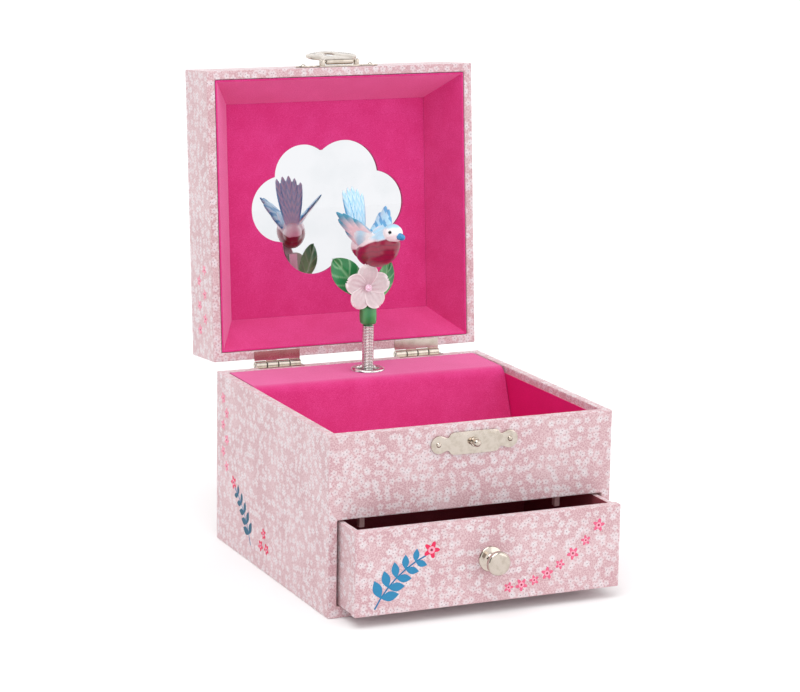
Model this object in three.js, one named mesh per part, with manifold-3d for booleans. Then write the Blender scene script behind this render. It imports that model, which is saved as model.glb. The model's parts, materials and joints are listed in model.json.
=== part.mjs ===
// Musical jewellery box: a paper-covered case with a drawer and a flocked tray, a hinged lid with a
// mirror, and a bird on a flower that turns on a spring above a wind-up musical movement.
// Millimetres. X is to the right, Y to the back, Z up. The origin is the centre of the case's base.
// The lid is modelled closed and turned open on its hinge; the drawer is modelled shut and drawn out.
import * as THREE from "three";
import { mergeVertices } from "three/addons/utils/BufferGeometryUtils.js";
import Module from "manifold-3d";

const wasm = await Module();
wasm.setup();

// ---- Driving dimensions ----
const DEG = Math.PI / 180;
const FIT = 0.3; // gap between a piece and one that is turned or cut to fit it
const GLUE = 0.15; // glue line between the lid's pieces

const CASE_WIDTH = 150;
const CASE_DEPTH = 150;
const CASE_HEIGHT = 89.2;
const BOARD = 4.5; // covered board of the case and lid
const BASE_THICK = 5.4;
const TRAY_DEPTH = 36.9; // rim down to the tray's pad
const FLOOR_THICK = 3;
const PAD_THICK = 1.5;
const LINING_THICK = 0.6;
const TURN_IN = 3.6; // covering paper turned in over the rim, above the lining

const COVER_DROP = 0.3; // rim down to the mechanism cover's top
const COVER_THICK = 2;
const COVER_RUN = 37.3; // cover's top, back wall to front edge
const COVER_LEAN = 22 * DEG; // cover's front leans forward going down
const COVER_FILLET = 5;

const DRAWER_LENGTH = 97.5;
const DRAWER_GAP = 0.5;
const DRAWER_FRONT_THICK = 5;
const DRAWER_SIDE_THICK = 2.8;
const DRAWER_SIDE_INSET = 1; // drawer's side behind the edge of its front
const DRAWER_BOTTOM_THICK = 2;
const DRAWER_OUT = 20.4; // how far the drawer stands open
const PARTITION_THICK = 2.5;
const STOP_X = 52.5;
const STOP_SIZE = [2.6, 3, 8.2];
const STOP_SETBACK = 12.5; // case front to the stop's front face

const KNOB_RADIUS = 6;
const KNOB_FLANGE_RADIUS = 6.25;
const KNOB_LENGTH = 10.7;
const KNOB_RISE = 0.8; // knob above the middle of the drawer's front

const LID_HEIGHT = 32.2;
const LID_OPEN = 94.33 * DEG;
const LID_PANEL_DEPTH = 22; // rim plane up to the lining panel
const LID_PANEL_INSET = 14; // lid's inner wall in to the lining panel's edge
const LID_CARD = 1;
const MIRROR_THICK = 2;
const MIRROR_SIZE = [98, 84];
const CLOUD_CENTRE = [0, -0.2];
// lobes of the cloud-shaped mirror opening: x, y in the closed lid, radius
const CLOUD_LOBES = [
  [-13.5, -17.5, 16.5],
  [10, -16, 19.5],
  [26.5, -1.5, 17],
  [19, 16, 18],
  [-9, 17.5, 17.5],
  [-26, -0.5, 17.5],
];

const LEAF_THICK = 0.3;
const LEAF_CLEAR = 0.1; // between the two leaves of a closed hinge
const HINGE_X = 40;
const HINGE_LENGTH = 25.5;
const HINGE_REACH = 3.3; // pin behind the case's back face
const KNUCKLE_RADIUS = 2.2;
const KNUCKLES = 4;
const KNUCKLE_GAP = 0.3;
const HINGE_PIN_RADIUS = 0.85;
const LEAF_ON_RIM = 4;

const HASP_WIDTH = 46;
const HASP_PLATE_THICK = 0.8;
const HASP_AXIS_RISE = 3.5; // lid's rim up to the hasp's pin
const HASP_AXIS_OUT = 2.8; // lid's front out to the hasp's pin
const HASP_FLAP_WIDTH = 28;
const HASP_FLAP_LENGTH = 19.5;
const HASP_HOLE_REACH = 13.4; // hasp's pin to its hole
const HASP_HOLE_RADIUS = 2.7;
const HASP_FLAP_THICK = 0.8;
const HASP_LEAN = 13 * DEG; // the folded flap leans away from the lid
const HASP_PIN_RADIUS = 0.6;
const HASP_BARREL_RADIUS = 1.5;
const STUD_RADIUS = 2;
const STUD_LENGTH = 5.2;

const SPINDLE_RUN = 23; // case's back face to the spindle
const SPINDLE_RADIUS = 1.5;
const SPRING_RADIUS = 3.1;
const SPRING_BORE = 2.5;
const SPRING_LENGTH = 25;
const FERRULE_RADIUS = 8.75;
const FERRULE_BORE = 6;

const COLLAR_RADIUS = 4.5;
const COLLAR_HEIGHT = 10;
const FLOWER_RADIUS = 12;
const FLOWER_RISE = 19; // spring's top up to the flower's middle
const FLOWER_SHIFT = [-2.5, 1.2]; // the flower's middle from the spindle, and above the leaves' middle
const BIRD_TURN = 18 * DEG;
const BIRD_SHIFT = 1;

const MOVEMENT_PLATE = [58, 2, 64]; // width, thickness, height where the case is tall enough
const DRUM_RADIUS = 6.2;
const DRUM_LENGTH = 18;
const NOTES = 18;
const PIN_HEIGHT = 0.7;
const CROWN_TEETH = 40;
const CROWN_RADIUS = 14;
const DRUM_PINION_TEETH = 20;
const DRUM_GEAR_TEETH = 36;
const DRUM_GEAR_RADIUS = 9;
const GOVERNOR_PINION_TEETH = 12;
const WORM_WHEEL_TEETH = 16;
const WORM_WHEEL_RADIUS = 4;
const WORM_STARTS = 2;
const WORM_RADIUS = 1.5;
const KEY_ARBOR_RADIUS = 2.5;
const KEY_LENGTH = 19;

// ---- Places worked out from them ----
const HALF_W = CASE_WIDTH / 2;
const HALF_D = CASE_DEPTH / 2;
const IN_W = HALF_W - BOARD;
const IN_D = HALF_D - BOARD;
const PAD_TOP = CASE_HEIGHT - TRAY_DEPTH;
const FLOOR_TOP = PAD_TOP - PAD_THICK;
const BAY_TOP = FLOOR_TOP - FLOOR_THICK;
const LINING_TOP = CASE_HEIGHT - TURN_IN;
const COVER_TOP = CASE_HEIGHT - COVER_DROP;
const COVER_FRONT = IN_D - COVER_RUN;
const COVER_FOOT = COVER_FRONT - (COVER_TOP - FLOOR_TOP) * Math.tan(COVER_LEAN);
const RIM_GAP = 2 * LEAF_THICK + LEAF_CLEAR;
const LID_RIM = CASE_HEIGHT + RIM_GAP;
const LID_TOP = LID_RIM + LID_HEIGHT;
const PIN_Y = HALF_D + HINGE_REACH;
const PIN_Z = CASE_HEIGHT + RIM_GAP / 2;
const HASP_Y = -HALF_D - HASP_AXIS_OUT;
const HASP_Z = LID_RIM + HASP_AXIS_RISE;
const STUD_Z = HASP_Z - HASP_HOLE_REACH;
const DRAWER_LOW = BASE_THICK + DRAWER_GAP;
const DRAWER_HIGH = BAY_TOP - DRAWER_GAP;
const DRAWER_BACK = -HALF_D + DRAWER_LENGTH;
const SPINDLE_Y = HALF_D - SPINDLE_RUN;
const SPRING_FOOT = COVER_TOP - 0.9;
const SPRING_TOP = SPRING_FOOT + SPRING_LENGTH;
const PLATE_FRONT = IN_D - MOVEMENT_PLATE[1];

// Heights in the movement, stacked down from under the cover.
const BEARING_THICK = 1.8;
const GEAR_THICK = 2;
const STEP = 0.9; // space between one level of the movement and the next
const TOP_BEARING = COVER_TOP - COVER_THICK - 5.5;
const GEAR_LEVEL = TOP_BEARING - BEARING_THICK - STEP;
const DRUM_TOP = GEAR_LEVEL - GEAR_THICK - STEP;
const DRUM_FOOT = DRUM_TOP - DRUM_LENGTH;
const LOW_BEARING = DRUM_FOOT - STEP;
const PINION_LEVEL = LOW_BEARING - BEARING_THICK - STEP;
const PINION_THICK = 2.8;
const PINION_RADIUS = (CROWN_RADIUS * DRUM_PINION_TEETH) / CROWN_TEETH;
const KEY_Z = PINION_LEVEL - PINION_THICK / 2 - CROWN_RADIUS;
const CROWN_FACE = SPINDLE_Y + PINION_RADIUS; // pitch plane of the crown wheel
const CROWN_RIM = CROWN_RADIUS + 1.2;
const GOVERNOR_PINION_RADIUS = (DRUM_GEAR_RADIUS * GOVERNOR_PINION_TEETH) / DRUM_GEAR_TEETH;
const GOVERNOR_X = -DRUM_GEAR_RADIUS - GOVERNOR_PINION_RADIUS;
const WORM_X = GOVERNOR_X - WORM_WHEEL_RADIUS - WORM_RADIUS;
const WORM_Z = (DRUM_TOP + DRUM_FOOT) / 2;

// ---- Materials ----
function finish(color, roughness, metalness = 0) {
  return new THREE.MeshStandardMaterial({ color, roughness, metalness });
}
const paper = finish(0xe9c8cd, 0.75);
const flock = finish(0xd8286f, 0.95);
const lining = finish(0xcc0f62, 0.6);
const nickel = finish(0xd8d2c4, 0.25, 1);
const brass = finish(0xc9a24a, 0.3, 1);
const steel = finish(0x9a9ca0, 0.35, 1);
const zinc = finish(0xa9a9a6, 0.45, 1);
const glass = finish(0xdfe6ea, 0.03, 1);
const green = finish(0x5f9a4a, 0.4);
const petal = finish(0xf3c6d2, 0.35);
const crystal = finish(0xf6f6f8, 0.1);
const blue = finish(0x9cc9e6, 0.4);

// ---- Shape helpers ----
function toSolid(geometry) {
  const bare = geometry.index ? geometry.toNonIndexed() : geometry.clone();
  bare.deleteAttribute("normal");
  bare.deleteAttribute("uv");
  const merged = mergeVertices(bare, 1e-4);
  return new wasm.Manifold(
    new wasm.Mesh({
      numProp: 3,
      vertProperties: merged.attributes.position.array,
      triVerts: new Uint32Array(merged.index.array),
    }),
  );
}

function toGeometry(manifold) {
  const mesh = manifold.getMesh();
  const geometry = new THREE.BufferGeometry();
  geometry.setAttribute("position", new THREE.BufferAttribute(mesh.vertProperties.slice(), 3));
  geometry.setIndex(new THREE.BufferAttribute(mesh.triVerts.slice(), 1));
  geometry.computeVertexNormals();
  return geometry;
}

function joined(...pieces) {
  return toGeometry(pieces.map(toSolid).reduce((whole, piece) => whole.add(piece)));
}

function cut(whole, ...tools) {
  return toGeometry(tools.map(toSolid).reduce((rest, tool) => rest.subtract(tool), toSolid(whole)));
}

// A box from its low corner to its high corner.
function block(x0, x1, y0, y1, z0, z1) {
  const box = new THREE.BoxGeometry(x1 - x0, y1 - y0, z1 - z0);
  return box.translate((x0 + x1) / 2, (y0 + y1) / 2, (z0 + z1) / 2);
}

// A block whose half sizes change from its foot to its top.
function tapered([lowX, lowY], low, [highX, highY], high) {
  const block = new THREE.BoxGeometry(2, 2, 2);
  const corners = block.getAttribute("position");
  for (let i = 0; i < corners.count; i += 1) {
    const top = corners.getZ(i) > 0;
    const [x, y] = top ? [highX, highY] : [lowX, lowY];
    corners.setXYZ(i, corners.getX(i) * x, corners.getY(i) * y, top ? high : low);
  }
  return block;
}

// Turned bodies: the profile is (radius, distance along the axis), anticlockwise seen with r to the right.
function turned(profile, segments = 32) {
  return new THREE.LatheGeometry(profile.map(([r, h]) => new THREE.Vector2(r, h)), segments);
}
const alongZ = (geometry) => geometry.rotateX(Math.PI / 2);

function rodProfile(radius, from, to) {
  return [[0, from], [radius, from], [radius, to], [0, to]];
}
function ringProfile(outer, inner, from, to) {
  return [[inner, from], [outer, from], [outer, to], [inner, to], [inner, from]];
}
function rodZ(radius, x, y, from, to, segments = 24) {
  return alongZ(turned(rodProfile(radius, from, to), segments)).translate(x, y, 0);
}
function rodY(radius, x, z, from, to, segments = 24) {
  return turned(rodProfile(radius, from, to), segments).translate(x, 0, z);
}
function rodX(radius, y, z, from, to, segments = 24) {
  return turned(rodProfile(radius, from, to), segments).rotateZ(-Math.PI / 2).translate(0, y, z);
}

function polygon(points) {
  return new THREE.Shape(points.map(([x, y]) => new THREE.Vector2(x, y)));
}
function prism(shape, depth, curveSegments = 8) {
  return new THREE.ExtrudeGeometry(shape, { depth, bevelEnabled: false, curveSegments });
}
// A shape drawn in X and Z, made thick from y0 towards the front.
function frontPlate(shape, y0, thick, curveSegments = 8) {
  return prism(shape, thick, curveSegments).rotateX(Math.PI / 2).translate(0, y0, 0);
}
// A shape drawn in Y and Z, made long from x0 to x1.
function longProfile(shape, x0, x1, curveSegments = 6) {
  const axes = new THREE.Matrix4().makeBasis(
    new THREE.Vector3(0, 1, 0),
    new THREE.Vector3(0, 0, 1),
    new THREE.Vector3(1, 0, 0),
  );
  return prism(shape, x1 - x0, curveSegments).applyMatrix4(axes).translate(x0, 0, 0);
}

// Straight-sided teeth round a circle; shares are parts of one tooth pitch.
function gearShape(teeth, pitchRadius, phase, high = 0.6, low = 0.85) {
  const step = (2 * Math.PI) / teeth;
  const outline = [];
  for (let i = 0; i < teeth; i += 1) {
    const middle = phase + i * step;
    for (const [share, radius] of [[-0.3, -low], [-0.13, high], [0.13, high], [0.3, -low]]) {
      const angle = middle + share * step;
      const r = pitchRadius + radius;
      outline.push([r * Math.cos(angle), r * Math.sin(angle)]);
    }
  }
  return polygon(outline);
}

const box = new THREE.Group();
const lid = new THREE.Group();
const lidClosed = new THREE.Group();
const drawer = new THREE.Group();
const hasp = new THREE.Group();

function put(group, name, geometry, material) {
  const mesh = new THREE.Mesh(geometry, material);
  mesh.name = name;
  group.add(mesh);
}

// ---- Case ----
function buildCase() {
  put(box, "case_side_left", block(-HALF_W, -IN_W, -HALF_D, HALF_D, 0, CASE_HEIGHT), paper);
  put(box, "case_side_right", block(IN_W, HALF_W, -HALF_D, HALF_D, 0, CASE_HEIGHT), paper);
  put(box, "case_front", block(-IN_W, IN_W, -HALF_D, -IN_D, BAY_TOP, CASE_HEIGHT), paper);
  put(box, "case_base", block(-IN_W, IN_W, -HALF_D, IN_D, 0, BASE_THICK), paper);
  const back = polygon([[-IN_W, 0], [IN_W, 0], [IN_W, CASE_HEIGHT], [-IN_W, CASE_HEIGHT]]);
  const keyHole = new THREE.Path();
  keyHole.absarc(0, KEY_Z, KEY_ARBOR_RADIUS + 1.5, 0, 2 * Math.PI, true);
  back.holes.push(keyHole);
  put(box, "case_back", frontPlate(back, HALF_D, BOARD, 12), paper);
  const partition = DRAWER_BACK + DRAWER_GAP;
  put(box, "tray_floor", block(-IN_W, IN_W, -IN_D, partition + PARTITION_THICK, BAY_TOP, FLOOR_TOP), paper);
  put(
    box,
    "bay_partition",
    block(-IN_W, IN_W, partition, partition + PARTITION_THICK, BASE_THICK, BAY_TOP),
    paper,
  );
  for (const [side, name] of [[-1, "left"], [1, "right"]]) {
    const [across, along, down] = STOP_SIZE;
    const x = side * STOP_X;
    const front = -HALF_D + STOP_SETBACK;
    const stop = block(x - across / 2, x + across / 2, front, front + along, BAY_TOP - down, BAY_TOP);
    put(box, "drawer_stop_" + name, stop, paper);
  }
}

// Flocked and smooth linings of the tray, and the cover over the movement.
function buildTray() {
  const wall = IN_W - LINING_THICK;
  for (const [x, name] of [[-IN_W, "left"], [wall, "right"]]) {
    const side = block(x, x + LINING_THICK, -IN_D, IN_D, FLOOR_TOP, LINING_TOP);
    put(box, "tray_lining_" + name, side, lining);
  }
  const front = block(-wall, wall, -IN_D, -IN_D + LINING_THICK, FLOOR_TOP, LINING_TOP);
  put(box, "tray_lining_front", front, lining);
  const padFront = -IN_D + LINING_THICK;
  put(box, "tray_pad", block(-wall, wall, padFront, COVER_FOOT - FIT, FLOOR_TOP, PAD_TOP), flock);

  const across = COVER_THICK / Math.cos(COVER_LEAN);
  const foot = FLOOR_TOP + FIT;
  const back = IN_D - FIT;
  const outer = [Math.sin(COVER_LEAN) * COVER_FILLET, Math.cos(COVER_LEAN) * COVER_FILLET];
  const under = COVER_TOP - COVER_THICK;
  const shape = new THREE.Shape();
  shape.moveTo(COVER_FOOT, foot);
  shape.lineTo(COVER_FOOT + across, foot);
  shape.lineTo(COVER_FRONT + across - COVER_THICK * Math.tan(COVER_LEAN), under);
  shape.lineTo(back, under);
  shape.lineTo(back, COVER_TOP);
  shape.lineTo(COVER_FRONT + COVER_FILLET, COVER_TOP);
  shape.quadraticCurveTo(COVER_FRONT, COVER_TOP, COVER_FRONT - outer[0], COVER_TOP - outer[1]);
  shape.lineTo(COVER_FOOT, foot);
  const half = wall - FIT;
  const hole = rodZ(FERRULE_BORE + 1 + FIT, 0, SPINDLE_Y, under - 1, COVER_TOP + 1, 32);
  put(box, "mechanism_cover", cut(longProfile(shape, -half, half), hole), flock);
}

function buildFerrule() {
  const barrel = FERRULE_BORE + 1;
  const seat = COVER_TOP + GLUE;
  const profile = [
    [FERRULE_BORE, COVER_TOP - COVER_THICK],
    [barrel, COVER_TOP - COVER_THICK],
    [barrel, seat],
    [FERRULE_RADIUS, seat],
    [FERRULE_RADIUS, seat + 0.5],
    [FERRULE_RADIUS - 0.7, seat + 1.1],
    [FERRULE_BORE + 0.3, seat + 1.1],
    [FERRULE_BORE, seat + 0.8],
    [FERRULE_BORE, COVER_TOP - COVER_THICK],
  ];
  put(box, "spindle_ferrule", alongZ(turned(profile, 24)).translate(0, SPINDLE_Y, 0), nickel);
}

// ---- Catch: strike plate and stud on the case, plate and flap on the lid ----
// A plate with a taller middle and round-ended ears, drawn about its own centre.
function catchPlateShape(width, middle, tall, ear) {
  const shape = new THREE.Shape();
  const end = width / 2 - ear;
  shape.moveTo(-middle, -tall);
  shape.lineTo(middle, -tall);
  shape.lineTo(middle + 1, -ear);
  shape.lineTo(end, -ear);
  shape.absarc(end, 0, ear, -Math.PI / 2, Math.PI / 2, false);
  shape.lineTo(middle + 1, ear);
  shape.lineTo(middle, tall);
  shape.lineTo(-middle, tall);
  shape.lineTo(-middle - 1, ear);
  shape.lineTo(-end, ear);
  shape.absarc(-end, 0, ear, Math.PI / 2, 1.5 * Math.PI, false);
  shape.lineTo(-middle - 1, -ear);
  return shape;
}
const NAIL_X = HASP_WIDTH / 2 - 4;
function nail(x, z, face) {
  const profile = [[0, -0.6], [0.9, -0.3], [1.3, 0], [0.55, 0], [0.55, 3], [0, 3.4]];
  return turned(profile, 16).translate(x, face, z);
}
function nailHoles(z, face) {
  return [-NAIL_X, NAIL_X].map((x) => rodY(0.85, x, z, face - 2, face + 5, 16));
}

function buildStrike() {
  const back = -HALF_D - GLUE;
  const shape = catchPlateShape(HASP_WIDTH, 12, 5.6, 4.4);
  const plate = frontPlate(shape, back, HASP_PLATE_THICK).translate(0, 0, STUD_Z);
  const studHole = rodY(1.3, 0, STUD_Z, back - 3, back + 3, 20);
  put(box, "strike_plate", cut(plate, ...nailHoles(STUD_Z, back), studHole), nickel);
  const face = back - HASP_PLATE_THICK;
  const ball = -HALF_D - STUD_LENGTH + STUD_RADIUS;
  const profile = [[0, ball - STUD_RADIUS]];
  for (let i = 1; i < 6; i += 1) {
    const angle = (i / 6) * 150 * DEG;
    profile.push([STUD_RADIUS * Math.sin(angle), ball - STUD_RADIUS * Math.cos(angle)]);
  }
  profile.push([1, face - 0.6], [2, face - 0.3], [2, face - 0.05], [0.95, face - 0.05]);
  profile.push([0.95, back - 0.02], [0, back - 0.02]);
  put(box, "strike_stud", turned(profile, 16).translate(0, 0, STUD_Z), nickel);
  for (const [side, name] of [[-1, "left"], [1, "right"]]) {
    const pin = nail(side * NAIL_X, STUD_Z, face - 0.05);
    put(box, "strike_nail_" + name, shortened(pin, back - 0.02), nickel);
  }
}
// Nails and rivets end at the back of their plate, where the covered board begins.
function shortened(geometry, limit) {
  return cut(geometry, block(-HALF_W, HALF_W, limit, limit + 20, 0, LID_TOP));
}

function buildHasp() {
  const back = -HALF_D - GLUE;
  const face = back - HASP_PLATE_THICK;
  const plateZ = HASP_Z + 3.2;
  const shape = catchPlateShape(HASP_WIDTH, 11, 5.4, 4.4);
  const plate = frontPlate(shape, back, HASP_PLATE_THICK).translate(0, 0, plateZ);
  const ears = [-1, 1].map((side) => {
    const x = side * 9.6;
    return block(x - 1.3, x + 1.3, HASP_Y - 1.4, back - 0.2, HASP_Z - 1.6, HASP_Z + 1.6);
  });
  const bore = rodX(HASP_PIN_RADIUS + FIT, HASP_Y, HASP_Z, -12, 12, 16);
  const body = cut(joined(plate, ...ears), bore, ...nailHoles(plateZ, back));
  put(lidClosed, "hasp_plate", body, nickel);
  put(lidClosed, "hasp_pin", rodX(HASP_PIN_RADIUS, HASP_Y, HASP_Z, -10.9, 10.9, 16), nickel);
  for (const [side, name] of [[-1, "left"], [1, "right"]]) {
    const pin = nail(side * NAIL_X, plateZ, face - 0.05);
    put(lidClosed, "hasp_nail_" + name, shortened(pin, back - 0.02), nickel);
  }

  // The flap is drawn hanging up from its pin, then leans back with its group.
  const half = HASP_FLAP_WIDTH / 2;
  const foot = HASP_BARREL_RADIUS + 0.6;
  const middle = (foot + HASP_FLAP_LENGTH) / 2;
  const oval = new THREE.Shape();
  oval.absellipse(0, middle, half, HASP_FLAP_LENGTH - middle, 0, 2 * Math.PI, false);
  const flap = frontPlate(oval, HASP_FLAP_THICK / 2, HASP_FLAP_THICK, 16);
  const neck = block(-7.6, 7.6, -HASP_FLAP_THICK / 2, HASP_FLAP_THICK / 2, 0, middle);
  const barrel = rodX(HASP_BARREL_RADIUS, 0, 0, -7.6, 7.6, 20);
  const bored = cut(
    joined(flap, neck, barrel),
    rodX(HASP_PIN_RADIUS + FIT, 0, 0, -12, 12, 16),
    rodY(HASP_HOLE_RADIUS, 0, HASP_HOLE_REACH, -4, 4, 24),
  );
  put(hasp, "hasp_flap", bored, nickel);
  hasp.position.set(0, HASP_Y, HASP_Z);
  hasp.rotation.x = HASP_LEAN;
  lidClosed.add(hasp);
}

// ---- Hinges ----
// One leaf of a hinge: a strip on the rim, and every second knuckle round the pin.
function hingeLeaf(first, low, high) {
  const pitch = HINGE_LENGTH / KNUCKLES;
  const neck = PIN_Y - KNUCKLE_RADIUS - FIT;
  const half = HINGE_LENGTH / 2;
  const pieces = [block(-half, half, HALF_D - LEAF_ON_RIM, neck, low, high)];
  for (let i = first; i < KNUCKLES; i += 2) {
    const from = -half + i * pitch + (i > 0 ? KNUCKLE_GAP / 2 : 0);
    const to = -half + (i + 1) * pitch - (i < KNUCKLES - 1 ? KNUCKLE_GAP / 2 : 0);
    pieces.push(rodX(KNUCKLE_RADIUS, PIN_Y, PIN_Z, from, to));
    pieces.push(block(from, to, neck - 1, PIN_Y, low, high));
  }
  const bore = rodX(HINGE_PIN_RADIUS + FIT, PIN_Y, PIN_Z, -half - 1, half + 1);
  return cut(joined(...pieces), bore);
}

function buildHinges() {
  const lidLow = LID_RIM - GLUE - LEAF_THICK;
  for (const [side, name] of [[-1, "left"], [1, "right"]]) {
    const x = side * HINGE_X;
    const caseLeaf = hingeLeaf(0, CASE_HEIGHT, CASE_HEIGHT + LEAF_THICK - LEAF_CLEAR / 2);
    const lidLeaf = hingeLeaf(1, lidLow + LEAF_CLEAR, LID_RIM - GLUE);
    const pin = rodX(HINGE_PIN_RADIUS, PIN_Y, PIN_Z, -HINGE_LENGTH / 2, HINGE_LENGTH / 2, 16);
    put(box, "hinge_leaf_case_" + name, caseLeaf.translate(x, 0, 0), nickel);
    put(box, "hinge_pin_" + name, pin.translate(x, 0, 0), nickel);
    put(lidClosed, "hinge_leaf_lid_" + name, lidLeaf.translate(x, 0, 0), nickel);
  }
}

// ---- Lid ----
function cloudOutline(samples) {
  const [cx, cy] = CLOUD_CENTRE;
  const outline = [];
  for (let i = 0; i < samples; i += 1) {
    const angle = (i / samples) * 2 * Math.PI;
    const [dx, dy] = [Math.cos(angle), Math.sin(angle)];
    let reach = 0;
    for (const [x, y, radius] of CLOUD_LOBES) {
      const along = (x - cx) * dx + (y - cy) * dy;
      const off = (x - cx) * dy - (y - cy) * dx;
      const inside = radius * radius - off * off;
      if (inside > 0) reach = Math.max(reach, along + Math.sqrt(inside));
    }
    outline.push([cx + reach * dx, cy + reach * dy]);
  }
  return outline;
}

function buildLid() {
  const roof = LID_TOP - BOARD;
  put(lidClosed, "lid_top", block(-HALF_W, HALF_W, -HALF_D, HALF_D, roof, LID_TOP), paper);
  const corner = GLUE;
  const wallHeight = roof - GLUE - LID_RIM;
  const walls = [
    ["front", [[-HALF_W, -HALF_D], [HALF_W, -HALF_D], [IN_W, -IN_D], [-IN_W, -IN_D]], 1, 0],
    ["back", [[HALF_W, HALF_D], [-HALF_W, HALF_D], [-IN_W, IN_D], [IN_W, IN_D]], 1, 0],
    ["right", [[HALF_W, -HALF_D], [HALF_W, HALF_D], [IN_W, IN_D], [IN_W, -IN_D]], 0, 1],
    ["left", [[-HALF_W, HALF_D], [-HALF_W, -HALF_D], [-IN_W, -IN_D], [-IN_W, IN_D]], 0, 1],
  ];
  for (const [name, points, alongX, alongY] of walls) {
    const mitred = points.map(([x, y]) => [
      x - Math.sign(x) * corner * alongX,
      y - Math.sign(y) * corner * alongY,
    ]);
    const wall = prism(polygon(mitred), wallHeight).translate(0, 0, LID_RIM);
    put(lidClosed, "lid_wall_" + name, wall, paper);
  }

  // Four sloping sides in one band: the space between two tapered blocks.
  const mouth = [IN_W - GLUE, IN_D - GLUE];
  const inset = [IN_W - LID_PANEL_INSET, IN_D - LID_PANEL_INSET];
  const panelZ = LID_RIM + LID_PANEL_DEPTH;
  const low = LID_RIM + 0.4;
  const outside = tapered(mouth, low, inset.map((half) => half + LID_CARD), panelZ - GLUE);
  const inside = tapered(mouth.map((half) => half - LID_CARD), low, inset, panelZ - GLUE);
  put(lidClosed, "lid_lining_sides", cut(outside, inside), flock);

  const [halfX, halfY] = inset.map((half) => half + LID_CARD);
  const panel = polygon([[-halfX, -halfY], [halfX, -halfY], [halfX, halfY], [-halfX, halfY]]);
  panel.holes.push(new THREE.Path(cloudOutline(72).map(([x, y]) => new THREE.Vector2(x, y)).reverse()));
  put(lidClosed, "lid_lining_panel", prism(panel, LID_CARD).translate(0, 0, panelZ), flock);
  const [mx, my] = MIRROR_SIZE;
  const mirrorZ = panelZ + LID_CARD + GLUE;
  const mirror = block(-mx / 2, mx / 2, -my / 2, my / 2, mirrorZ, mirrorZ + MIRROR_THICK);
  put(lidClosed, "lid_mirror", mirror, glass);
}

// ---- Drawer ----
function buildDrawer() {
  const half = IN_W - DRAWER_GAP;
  const frontBack = -HALF_D + DRAWER_FRONT_THICK;
  const face = block(-half, half, -HALF_D, frontBack, DRAWER_LOW, DRAWER_HIGH);
  const knobZ = (DRAWER_LOW + DRAWER_HIGH) / 2 + KNOB_RISE;
  const screwHole = rodY(1.3, 0, knobZ, -HALF_D - 1, frontBack + 1, 20);
  put(drawer, "drawer_front", cut(face, screwHole), paper);
  const outer = half - DRAWER_SIDE_INSET;
  const inner = outer - DRAWER_SIDE_THICK;
  const high = DRAWER_HIGH - DRAWER_GAP;
  const start = frontBack + GLUE;
  put(drawer, "drawer_side_left", block(-outer, -inner, start, DRAWER_BACK, DRAWER_LOW, high), paper);
  put(drawer, "drawer_side_right", block(inner, outer, start, DRAWER_BACK, DRAWER_LOW, high), paper);
  const backFace = DRAWER_BACK - DRAWER_SIDE_THICK;
  put(drawer, "drawer_back", block(-inner, inner, backFace, DRAWER_BACK, DRAWER_LOW, high), paper);
  const floorTop = DRAWER_LOW + DRAWER_BOTTOM_THICK;
  put(drawer, "drawer_bottom", block(-inner, inner, start, backFace, DRAWER_LOW, floorTop), flock);

  const root = -HALF_D - 0.05;
  const tip = -HALF_D - KNOB_LENGTH;
  const r = KNOB_RADIUS;
  const knob = [
    [0, tip], [r * 0.55, tip + 0.25], [r * 0.88, tip + 1], [r, tip + 2.2], [r, tip + 3.4],
    [r * 0.86, tip + 4.6], [r * 0.5, tip + 5.6], [r * 0.42, root - 2.2], [r * 0.6, root - 1.4],
    [KNOB_FLANGE_RADIUS, root - 0.9], [KNOB_FLANGE_RADIUS, root], [1.3, root], [1.3, root - 6], [0, root - 6],
  ];
  put(drawer, "drawer_knob", turned(knob, 24).translate(0, 0, knobZ), nickel);
  drawer.position.y = -DRAWER_OUT;
}

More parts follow.
